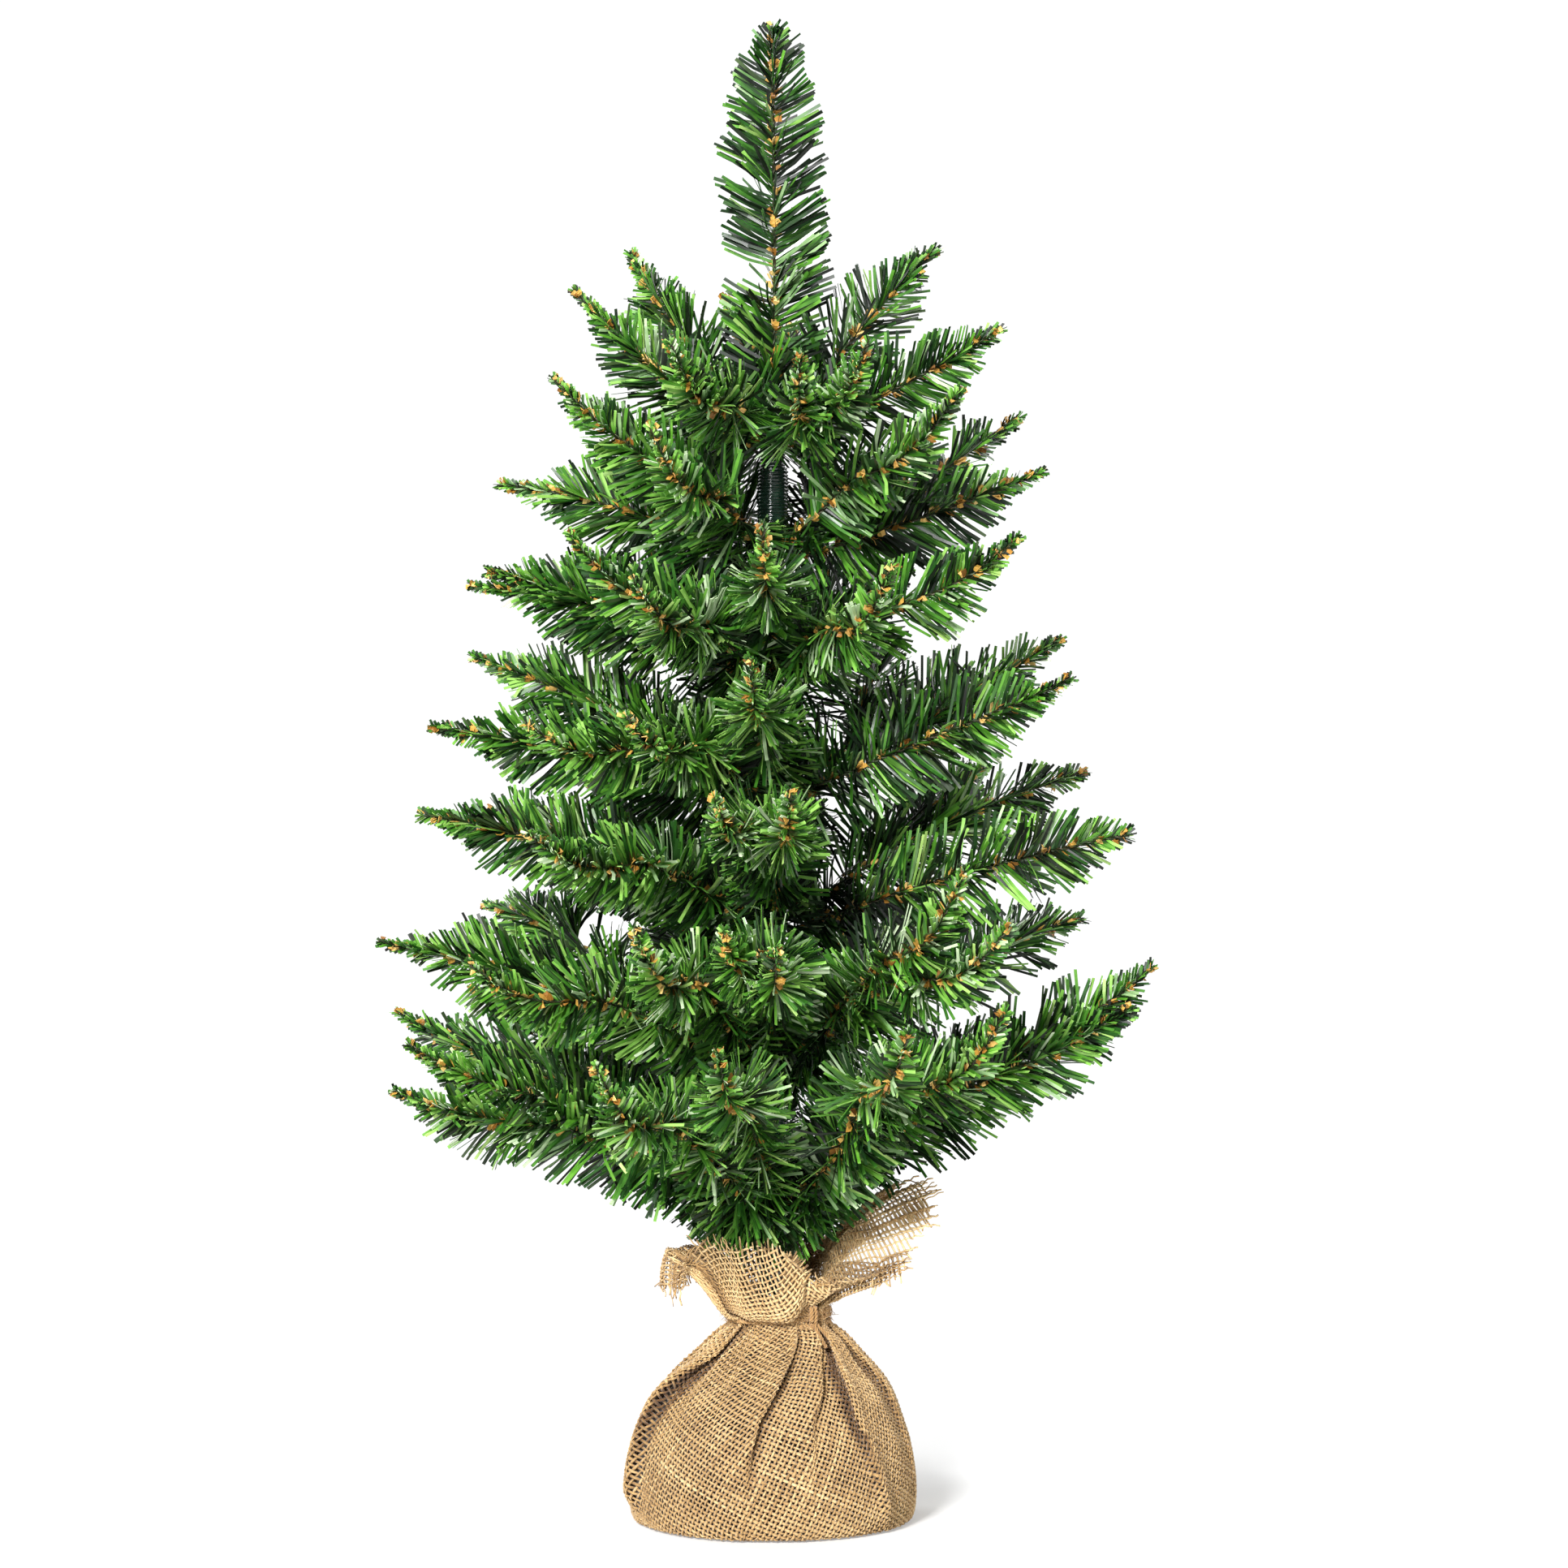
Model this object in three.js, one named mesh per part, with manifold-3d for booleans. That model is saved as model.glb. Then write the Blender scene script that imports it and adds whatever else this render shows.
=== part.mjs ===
// Artificial tabletop fir with a weighted base wrapped in burlap.
// Units: millimetres, +Z up, origin at the centre of the underside, front towards -Y.
import * as THREE from 'three';
import { mergeVertices } from 'three/addons/utils/BufferGeometryUtils.js';
import Module from 'manifold-3d';

const wasm = await Module();
wasm.setup();

const { clamp, degToRad, lerp, smoothstep } = THREE.MathUtils;

// ---------------------------------------------------------------- driving dimensions
const TREE_HEIGHT = 599.3;   // underside of the base to the tip of the leader
const NECK_RADIUS = 18.2;    // burlap under the cord
const NECK_LOW = 76.5;       // height of the tied neck
const NECK_HIGH = 86.0;
const POT_RADIUS = 51.4;     // thin plastic cup round the weight
const POT_WALL = 1.2;
const POLE_RADIUS = 3.5;     // steel trunk rod
const STEM_RADIUS = 1.0;     // bare twisted wires at a branch's root
const CORE_RADIUS = 4.3;     // packed film core of a branch, at its fullest

const FOLIAGE = { color: 0x2f6b2c, roughness: 0.55, metalness: 0.0 };
const MATERIALS = {
  burlap: { color: 0xc8a56e, roughness: 0.95, metalness: 0.0 },
  jute: { color: 0xb98f55, roughness: 0.95, metalness: 0.0 },
  plastic: { color: 0x1d1c1a, roughness: 0.5, metalness: 0.0 },
  cement: { color: 0x9c9a94, roughness: 0.9, metalness: 0.0 },
  steel: { color: 0x8c8f93, roughness: 0.35, metalness: 1.0 },
  wrap: { color: 0x14241c, roughness: 0.35, metalness: 0.0 },
};

// Tiers from the top down. low and high bound the heights where the branches leave the trunk.
// Branch: root height, root azimuth (degrees from +X towards +Y), main tip, any side tips.
// Main tip: x, y, z, arch as a share of its length.
// Side tip: the same, then the curve parameter where it leaves the main stem.
const TIERS = [
  { low: 420.9, high: 441.0, branches: [
    [428.7, 346.2, [90.9, -22.3, 474.1, 0.0]],
    [432.5, 22.5, [67.0, 26.1, 512.5, 0.038]],
    [425.5, 285.2, [36.4, -96.6, 461.3, 0.026], [10.4, -90.4, 458.2, 0.007, 0.29]],
    [430.0, 248.5, [-38.8, -90.2, 462.0, 0.024]],
    [426.7, 180.0, [-80.4, 0.0, 492.8, -0.02]],
    [431.7, 145.7, [-59.1, 40.3, 512.7, -0.02]],
    [428.7, 92.2, [8.5, 80.5, 487.5, 0.02], [-20.4, 59.3, 496.0, 0.0, 0.27]],
  ] },
  { low: 377.3, high: 396.8, branches: [
    [383.1, 4.4, [108.9, -7.0, 419.1, -0.011], [101.2, 28.3, 443.9, 0.018, 0.27]],
    [388.2, 51.8, [80.9, 79.0, 429.0, 0.024], [22.2, 89.1, 430.3, 0.03, 0.33]],
    [387.5, 314.4, [72.6, -74.2, 445.7, 0.02]],
    [384.9, 243.7, [-46.2, -98.6, 428.9, 0.028]],
    [386.2, 206.4, [-85.9, -47.0, 452.4, 0.021]],
    [381.9, 173.1, [-111.7, 14.7, 415.1, 0.049]],
    [385.5, 124.2, [-42.1, 86.3, 443.2, 0.03], [-71.0, 57.5, 426.2, 0.03, 0.27]],
  ] },
  { low: 328.2, high: 348.8, branches: [
    [336.2, 328.5, [96.2, -59.2, 390.0, 0.022]],
    [340.2, 292.9, [45.4, -105.7, 377.4, -0.007]],
    [337.0, 266.8, [-3.3, -117.7, 391.0, 0.062]],
    [337.9, 231.3, [-51.8, -114.3, 370.9, 0.02], [-77.5, -86.6, 389.9, 0.023, 0.3]],
    [332.8, 181.1, [-121.8, 1.1, 373.5, 0.074], [-115.2, -0.3, 378.9, 0.044, 0.32]],
    [337.6, 131.7, [-53.3, 90.4, 394.7, 0.039], [-86.9, 50.5, 384.1, 0.049, 0.32]],
    [340.2, 64.8, [57.4, 88.1, 387.1, 0.033], [22.2, 91.3, 389.3, 0.059, 0.36]],
  ] },
  { low: 278.7, high: 300.3, branches: [
    [288.8, 346.5, [116.8, -51.4, 335.3, -0.002], [116.9, 15.6, 352.5, 0.021, 0.3]],
    [291.7, 259.2, [-7.8, -127.3, 341.4, 0.05]],
    [284.1, 239.1, [-54.8, -113.8, 320.1, 0.067], [-93.7, -97.7, 317.3, 0.046, 0.3]],
    [283.3, 181.7, [-137.3, -0.5, 317.1, 0.03]],
    [286.6, 157.7, [-123.8, 36.2, 346.5, 0.035], [-95.3, 64.5, 335.4, 0.02, 0.34]],
    [286.6, 99.9, [-33.2, 108.8, 361.7, 0.052], [6.5, 113.1, 342.7, 0.057, 0.24]],
    [285.6, 52.8, [99.3, 68.2, 336.8, 0.078], [47.7, 98.1, 353.3, 0.068, 0.35]],
  ] },
  { low: 228.3, high: 248.2, branches: [
    [235.0, 352.8, [140.1, -40.6, 274.3, 0.021]],
    [239.3, 29.6, [129.0, 37.8, 299.3, 0.043], [90.1, 91.9, 301.2, 0.02, 0.28]],
    [233.7, 268.3, [7.2, -134.8, 292.8, 0.079], [-21.2, -133.1, 289.8, 0.093, 0.23]],
    [234.6, 229.1, [-91.8, -103.1, 276.0, 0.053]],
    [239.6, 185.3, [-139.3, -25.6, 282.1, 0.034]],
    [232.9, 144.8, [-118.7, 66.9, 283.9, 0.032], [-78.3, 94.1, 294.6, 0.053, 0.32]],
    [236.1, 92.7, [-18.0, 128.2, 303.5, 0.074], [17.1, 127.7, 283.8, 0.02, 0.24]],
  ] },
  { low: 170.7, high: 192.3, branches: [
    [181.4, 27.7, [129.8, 70.6, 238.4, 0.035]],
    [176.1, 298.9, [72.3, -115.8, 262.5, 0.004], [89.0, -114.9, 241.3, 0.037, 0.21]],
    [183.7, 278.7, [1.3, -153.3, 235.3, 0.07], [-18.0, -147.9, 241.0, 0.074, 0.36]],
    [178.2, 257.7, [-51.0, -134.7, 242.0, 0.03]],
    [175.3, 226.7, [-115.2, -97.5, 226.9, 0.04]],
    [175.3, 176.8, [-158.0, 2.0, 230.1, 0.046], [-121.3, 79.0, 243.2, 0.084, 0.32]],
    [182.4, 113.4, [-55.6, 127.4, 253.5, 0.033], [-18.8, 138.8, 235.7, 0.04, 0.37]],
    [176.3, 66.8, [68.0, 129.6, 241.1, 0.044], [36.4, 127.3, 238.5, 0.048, 0.29]],
  ] },
  { low: 114.8, high: 134.7, branches: [
    [126.1, 336.6, [149.4, -39.5, 222.9, 0.002], [140.5, -42.9, 207.2, 0.017, 0.22]],
    [120.9, 301.4, [87.5, -115.7, 209.6, 0.02], [50.4, -139.8, 203.5, 0.04, 0.27]],
    [122.6, 263.1, [-19.4, -151.5, 196.8, 0.06]],
    [119.4, 249.3, [-65.0, -136.1, 190.7, 0.025]],
    [124.7, 207.4, [-141.3, -63.2, 194.2, 0.028],
      [-153.2, 19.7, 202.1, 0.04, 0.3], [-146.2, -67.6, 176.7, 0.016, 0.21]],
    [121.7, 142.0, [-116.1, 105.4, 179.8, 0.022], [-126.8, 72.5, 208.2, 0.061, 0.37]],
    [120.2, 103.3, [-21.3, 158.3, 183.0, 0.021], [-68.3, 125.1, 200.7, 0.024, 0.33]],
    [121.9, 52.8, [99.2, 122.5, 188.6, 0.039],
      [57.4, 146.0, 166.8, 0.044, 0.22], [122.2, 75.8, 191.3, 0.034, 0.16]],
  ] },
];

// ---------------------------------------------------------------- helpers
function piece(name, geometry, material) {
  geometry.computeVertexNormals();
  const mesh = new THREE.Mesh(geometry, new THREE.MeshStandardMaterial(material));
  mesh.name = name;
  return mesh;
}

function polar(radius, angle, z) {
  return new THREE.Vector3(radius * Math.cos(angle), radius * Math.sin(angle), z);
}

function indexed(positions, triangles) {
  const geometry = new THREE.BufferGeometry();
  geometry.setAttribute('position', new THREE.Float32BufferAttribute(positions, 3));
  geometry.setIndex(triangles);
  return geometry;
}

// Triangles that join consecutive rings of vertices, the first ring starting at vertex `first`.
function joinRings(rings, sides, first = 0) {
  const triangles = [];
  for (let i = 0; i < rings - 1; i++) {
    for (let k = 0; k < sides; k++) {
      const near = first + i * sides + k;
      const nearNext = first + i * sides + ((k + 1) % sides);
      const far = near + sides;
      const farNext = nearNext + sides;
      triangles.push(near, nearNext, farNext, near, farNext, far);
    }
  }
  return triangles;
}

// A closed solid swept along points, with its own radius at each.
function sweep(points, radii, sides) {
  const last = points.length - 1;
  const tangents = points.map((_, i) => (
    points[Math.min(i + 1, last)].clone().sub(points[Math.max(i - 1, 0)]).normalize()
  ));
  const steep = Math.abs(tangents[0].z) >= 0.9;
  const normal = steep ? new THREE.Vector3(1, 0, 0) : new THREE.Vector3(0, 0, 1);
  const positions = [];
  points.forEach((point, i) => {
    // Carrying the normal from ring to ring keeps the tube from twisting.
    normal.projectOnPlane(tangents[i]).normalize();
    const binormal = tangents[i].clone().cross(normal);
    for (let k = 0; k < sides; k++) {
      const angle = (2 * Math.PI * k) / sides;
      const vertex = point.clone()
        .addScaledVector(normal, radii[i] * Math.cos(angle))
        .addScaledVector(binormal, radii[i] * Math.sin(angle));
      positions.push(...vertex);
    }
  });
  const triangles = joinRings(points.length, sides);
  const end = last * sides;
  for (let k = 1; k < sides - 1; k++) {
    triangles.push(0, k + 1, k);
    triangles.push(end, end + k, end + k + 1);
  }
  return indexed(positions, triangles);
}

// Sweeps along a curve; stations are distances from its start.
function sweepAlong(curve, stations, radiusAt, sides) {
  const length = curve.getLength();
  const points = stations.map((station) => curve.getPointAt(station / length));
  return sweep(points, stations.map(radiusAt), sides);
}

// Merges coincident vertices and drops the triangles that collapse.
function weld(geometry) {
  geometry.deleteAttribute('normal');
  geometry.deleteAttribute('uv');
  const merged = mergeVertices(geometry, 1e-4);
  const index = merged.index.array;
  const kept = [];
  for (let i = 0; i < index.length; i += 3) {
    const [a, b, c] = index.slice(i, i + 3);
    if (a !== b && b !== c && a !== c) kept.push(a, b, c);
  }
  merged.setIndex(kept);
  return merged;
}

function signedVolume(geometry) {
  const index = geometry.index.array;
  const corner = (i) => (
    new THREE.Vector3().fromBufferAttribute(geometry.attributes.position, index[i])
  );
  let sum = 0;
  for (let i = 0; i < index.length; i += 3) {
    sum += corner(i).dot(corner(i + 1).cross(corner(i + 2))) / 6;
  }
  return sum;
}

// A solid of revolution from a closed or axis-to-axis profile of [radius, height] pairs.
function revolve(profile, segments) {
  const points = profile.map(([radius, z]) => new THREE.Vector2(radius, z));
  const lathe = new THREE.LatheGeometry(points, segments);
  lathe.rotateX(Math.PI / 2);
  const solid = weld(lathe);
  // A profile may run either way round, so an inside-out solid is flipped.
  if (signedVolume(solid) < 0) {
    const index = solid.index.array;
    for (let i = 0; i < index.length; i += 3) {
      [index[i + 1], index[i + 2]] = [index[i + 2], index[i + 1]];
    }
  }
  return solid;
}

function toSolid(geometry) {
  const welded = weld(geometry);
  return new wasm.Manifold(new wasm.Mesh({
    numProp: 3,
    vertProperties: new Float32Array(welded.attributes.position.array),
    triVerts: new Uint32Array(welded.index.array),
  }));
}

function fromSolid(solid) {
  const mesh = solid.getMesh();
  return indexed(Array.from(mesh.vertProperties), Array.from(mesh.triVerts));
}

// ---------------------------------------------------------------- branches and leader
const ROOT_RADIUS = 6.0;             // distance of a branch's root from the trunk axis
const BARE_LENGTH = 10.0;            // bare wires at the root
const FILL_LENGTH = 22;              // over which the core swells to full size
const TAPER_LENGTH = 55;             // over which it narrows to the tip
const TIP_SHARE = 0.12;              // share of the swelling left at the tip
const BRANCH_SIDES = 6;
const ROOT_STATIONS = [0, 9, 19, 33];
const TIP_STATIONS = [52, 24, 0];    // distances back from the tip
const STATION_LIMIT = 54;            // root stations stay further than this from the tip

// A curve between two points, bowed upwards in their vertical plane.
function arc(from, to, arch) {
  const chord = to.clone().sub(from);
  const { x, y, z } = chord;
  const up = new THREE.Vector3(-z * x, -z * y, x ** 2 + y ** 2).normalize();
  const middle = from.clone().add(to).multiplyScalar(0.5);
  const control = middle.addScaledVector(up, 2 * arch * chord.length());
  return new THREE.QuadraticBezierCurve3(from, control, to);
}

function coreRadius(station, length) {
  const rise = smoothstep(station, BARE_LENGTH, BARE_LENGTH + FILL_LENGTH);
  const taper = Math.min(1, TIP_SHARE + clamp((length - station) / TAPER_LENGTH, 0, 1));
  return STEM_RADIUS + (CORE_RADIUS - STEM_RADIUS) * rise * taper;
}

function stem(curve, radiusAt) {
  const length = curve.getLength();
  const stations = [
    ...ROOT_STATIONS.filter((station) => station < length - STATION_LIMIT),
    ...TIP_STATIONS.map((distance) => length - distance),
  ];
  return sweepAlong(curve, stations, radiusAt, BRANCH_SIDES);
}

function mainStem(curve) {
  const length = curve.getLength();
  return stem(curve, (station) => coreRadius(station, length));
}

// A side stem continues the taper of the main stem, `travelled` from the root,
// and is narrowed where it leaves.
function sideStem(curve, travelled) {
  const length = curve.getLength() + travelled;
  return stem(curve, (station) => {
    const swell = smoothstep(0.55 + station / 25, 0, 1);
    return Math.max(STEM_RADIUS * 0.9, coreRadius(station + travelled, length) * swell);
  });
}

function branch([rootHeight, azimuth, [x, y, z, arch], ...sideTips]) {
  const root = polar(ROOT_RADIUS, degToRad(azimuth), rootHeight);
  const main = arc(root, new THREE.Vector3(x, y, z), arch);
  const geometry = mainStem(main);
  if (sideTips.length === 0) return geometry;

  let body = toSolid(geometry);
  for (const [sideX, sideY, sideZ, sideArch, leaves] of sideTips) {
    const side = arc(main.getPoint(leaves), new THREE.Vector3(sideX, sideY, sideZ), sideArch);
    body = body.add(toSolid(sideStem(side, leaves * main.getLength())));
  }
  return fromSolid(body);
}

// The upright shoot at the top of the trunk.
function leader() {
  const foot = new THREE.Vector3(0, 0, 441.2);
  const control = new THREE.Vector3(1.6, -1.0, 520);
  const tip = new THREE.Vector3(-0.6, -1.0, TREE_HEIGHT);
  const minRadius = 1.3;
  const curve = new THREE.QuadraticBezierCurve3(foot, control, tip);
  const length = curve.getLength();
  const stations = [0, 9, 17, 26, 38, 64, length - 50, length - 26, length - 8, length];
  const radiusAt = (station) => Math.max(coreRadius(station, length), minRadius);
  return sweepAlong(curve, stations, radiusAt, 8);
}

// ---------------------------------------------------------------- burlap
const CLOTH = 1.3;            // thickness of the burlap shell
const CLOTH_FLOOR = 1.4;      // height of the shell's inner floor
const FLOOR_RING = 30;        // radius of the innermost ring on both faces of the floor
const BURLAP_SIDES = 40;

// Outer face of the bag from the floor up to the neck: height, radius.
const BAG_OUTER = [
  [0.9, 55.6], [3.5, 56.9], [9.6, 57.6], [17.4, 57.2], [25.3, 55.7], [33.1, 54.1], [40.9, 51.0],
  [48.7, 46.8], [52.6, 44.0], [56.5, 40.0], [60.4, 35.6], [64.3, 32.0], [68.2, 28.8], [72.1, 25.2],
];
// Inner face from the neck down to the floor: height, radius.
const BAG_INNER = [
  [72.1, 21.6], [64.3, 28.6], [56.5, 36.2], [48.7, 43.4], [40.9, 48.0], [33.1, 51.4],
  [25.3, 53.7], [9.6, 55.9], [3.4, 55.0], [CLOTH_FLOOR, 52.6], [CLOTH_FLOOR, FLOOR_RING],
];
// Rim of the open collar at even azimuths from +X towards +Y: radius, height.
const RIM = [
  [63, 131], [58, 129], [50, 119], [44, 112], [38, 108], [36, 111], [38, 115], [34, 112],
  [37, 113], [42, 117], [43.5, 116], [43, 112], [39, 109], [34, 109.5], [29, 109.5], [26, 108],
  [22, 101], [28, 101], [44, 107], [57, 119],
];

// Radius and height of the rim at an azimuth from 0 up to 360 degrees.
function rim(azimuth) {
  const place = azimuth / (360 / RIM.length);
  const i = Math.floor(place);
  const next = RIM[(i + 1) % RIM.length];
  const blend = smoothstep(place - i, 0, 1);
  return RIM[i].map((value, column) => lerp(value, next[column], blend));
}

// Shallow gathers that run from the neck down the cone and fade towards the floor.
function gather(azimuth, z) {
  const depth = 1.5 * smoothstep(z, 20, 55) * (1 - 0.5 * smoothstep(z, 62, 76));
  const angle = degToRad(azimuth);
  return depth * (0.6 * Math.cos(9 * angle + 0.7) + 0.4 * Math.cos(5 * angle - 1.1));
}

// Each kind of row is a function of azimuth that gives [radius, height].
const roundRow = (radius, z) => () => [radius, z];

const gatheredRow = ([z, radius]) => (azimuth) => [radius + gather(azimuth, z), z];

// A row of the flared collar, `along` running from 0 at the neck to 1 at the rim.
// inset and lift move the whole row; narrow and drop shrink its flare.
function collarRow(along, { inset = 0, narrow = 0, lift = 0, drop = 0 } = {}) {
  return (azimuth) => {
    const [rimRadius, rimHeight] = rim(azimuth);
    return [
      NECK_RADIUS - inset + (rimRadius - NECK_RADIUS - narrow) * along ** 1.15,
      NECK_HIGH + lift + (rimHeight - NECK_HIGH - drop) * along ** 0.9,
    ];
  };
}

function innerCollarRow(along) {
  return collarRow(along, {
    inset: CLOTH * 0.7,
    narrow: CLOTH * 0.3,
    lift: CLOTH * 1.1,
    drop: along === 1 ? CLOTH * 0.9 : 0,
  });
}

// Up the outer face, over the rim and down the inner face.
function burlap() {
  const throatRadius = 7.3;
  const rows = [
    roundRow(FLOOR_RING, 0),
    roundRow(53.6, 0),
    ...BAG_OUTER.map(gatheredRow),
    (azimuth) => [19.2 + 0.3 * gather(azimuth, NECK_LOW), NECK_LOW],
    roundRow(NECK_RADIUS, NECK_LOW + 1.5),
    roundRow(NECK_RADIUS, NECK_HIGH),
    ...[0.22, 0.48, 0.75, 1].map((along) => collarRow(along)),
    ...[1, 0.72, 0.42].map(innerCollarRow),
    roundRow(10.5, NECK_HIGH + 2.5),
    roundRow(throatRadius, NECK_HIGH - 1.5),
    roundRow(throatRadius, NECK_LOW + 1),
    ...BAG_INNER.map(gatheredRow),
  ];

  const positions = [0, 0, 0];
  for (const row of rows) {
    for (let k = 0; k < BURLAP_SIDES; k++) {
      const azimuth = (360 * k) / BURLAP_SIDES;
      const [radius, z] = row(azimuth);
      positions.push(...polar(radius, degToRad(azimuth), z));
    }
  }
  const innerCentre = positions.length / 3;
  positions.push(0, 0, CLOTH_FLOOR);

  const triangles = joinRings(rows.length, BURLAP_SIDES, 1);
  const lastRing = innerCentre - BURLAP_SIDES;
  for (let k = 0; k < BURLAP_SIDES; k++) {
    const next = (k + 1) % BURLAP_SIDES;
    triangles.push(0, 1 + next, 1 + k);
    triangles.push(innerCentre, lastRing + k, lastRing + next);
  }
  return indexed(positions, triangles);
}

// Jute cord wound round the neck.
function cord() {
  const cordRadius = 1.05;
  const turns = 3;
  const pitch = 2.45;
  const stepsPerTurn = 20;
  const startAngle = -Math.PI * 0.36;
  const coilRadius = NECK_RADIUS + cordRadius + 0.55;
  const points = [];
  for (let i = 0; i <= stepsPerTurn * turns; i++) {
    const turn = i / stepsPerTurn;
    const angle = startAngle + 2 * Math.PI * turn;
    points.push(polar(coilRadius, angle, NECK_LOW + 2.0 + pitch * turn));
  }
  return sweep(points, points.map(() => cordRadius), 5);
}

// ---------------------------------------------------------------- base and trunk
function pot() {
  const bottom = 1.9;
  const floor = 3.2;
  const top = bottom + 28.0;
  const lipRadius = POT_RADIUS + 0.6;
  const lipBottom = top - 2;
  const innerRadius = POT_RADIUS - POT_WALL;
  return revolve([
    [0, bottom], [POT_RADIUS - 3.2, bottom], [POT_RADIUS - 1.2, floor],
    [POT_RADIUS, lipBottom], [lipRadius, lipBottom], [lipRadius, top],
    [innerRadius, top], [innerRadius - 1.2, 4.4], [innerRadius - 2.8, floor], [0, floor],
  ], 40);
}

// Cast cement with a blind hole for the pole.
function weight() {
  const bottom = 3.6;
  const top = bottom + 24.5;
  const radius = POT_RADIUS - POT_WALL - 1.6;
  const holeRadius = POLE_RADIUS + 0.3;
  const holeFloor = bottom + 3.3;
  return revolve([
    [0, bottom], [radius - 3, bottom], [radius - 0.3, bottom + 2], [radius, top],
    [14, top + 0.9], [holeRadius, top + 1.3], [holeRadius, holeFloor], [0, holeFloor],
  ], 40);
}

function pole() {
  const bottom = 7.3;
  const top = 440.4;
  const chamfer = 0.6;
  return revolve([
    [0, bottom], [POLE_RADIUS, bottom], [POLE_RADIUS, top - chamfer],
    [POLE_RADIUS - chamfer, top], [0, top],
  ], 16);
}

// Wound wrap round the pole, drawn in to a waist where each tier is bound in.
function trunkWrap() {
  const inner = 3.8;
  const outer = 6.5;
  const waist = 4.5;
  const bottom = 31.0;
  const top = 449.0;
  const slope = 1.1;      // height over which the wrap narrows to a waist
  const margin = 0.01;    // by which a waist reaches past its tier
  const profile = [[inner, top], [outer - 0.8, top], [outer, top - 1.4]];
  for (const { low, high } of TIERS) {
    profile.push([outer, high + margin], [waist, high - slope]);
    profile.push([waist, low + slope], [outer, low - margin]);
  }
  profile.push([outer, bottom], [inner, bottom], [inner, top]);
  return revolve(profile, 14);
}

// ---------------------------------------------------------------- assembly
const group = new THREE.Group();
group.add(piece('burlap_wrap', burlap(), MATERIALS.burlap));
group.add(piece('jute_cord', cord(), MATERIALS.jute));
group.add(piece('base_pot', pot(), MATERIALS.plastic));
group.add(piece('cement_weight', weight(), MATERIALS.cement));
group.add(piece('trunk_pole', pole(), MATERIALS.steel));
group.add(piece('trunk_wrap', trunkWrap(), MATERIALS.wrap));

const tiers = new THREE.Group();
TIERS.forEach(({ branches }, i) => {
  branches.forEach((row, k) => {
    tiers.add(piece(`tier${i + 1}_branch${k + 1}`, branch(row), FOLIAGE));
  });
});
group.add(tiers);
group.add(piece('leader', leader(), FOLIAGE));

export default group;
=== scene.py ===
"""Artificial tabletop fir: film needles on twisted wires, a wound trunk, and a base wrapped in
burlap that is tied round the trunk with jute cord.

Z is up, the trunk stands on the origin, the front faces -Y and +X is on the right. Lengths are
millimetres until a mesh is made. Azimuths run anticlockwise from +X."""
import math
import zlib
from types import SimpleNamespace

import bpy
import numpy as np
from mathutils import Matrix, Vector


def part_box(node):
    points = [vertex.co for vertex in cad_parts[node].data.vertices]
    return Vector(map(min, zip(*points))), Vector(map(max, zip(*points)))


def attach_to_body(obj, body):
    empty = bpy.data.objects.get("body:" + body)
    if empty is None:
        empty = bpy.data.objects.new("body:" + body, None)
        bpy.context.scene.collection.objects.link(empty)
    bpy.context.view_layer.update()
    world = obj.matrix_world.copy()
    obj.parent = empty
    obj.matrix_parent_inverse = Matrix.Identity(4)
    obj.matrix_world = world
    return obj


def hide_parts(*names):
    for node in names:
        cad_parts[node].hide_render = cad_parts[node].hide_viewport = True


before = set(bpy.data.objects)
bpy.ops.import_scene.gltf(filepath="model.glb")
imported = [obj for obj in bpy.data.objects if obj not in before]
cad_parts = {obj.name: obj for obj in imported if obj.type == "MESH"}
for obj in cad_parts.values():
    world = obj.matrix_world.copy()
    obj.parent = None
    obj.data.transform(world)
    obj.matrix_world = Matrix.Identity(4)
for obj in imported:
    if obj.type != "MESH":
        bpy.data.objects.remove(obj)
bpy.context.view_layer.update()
MM = 0.001
UP = np.array([0, 0, 1.0])

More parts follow.
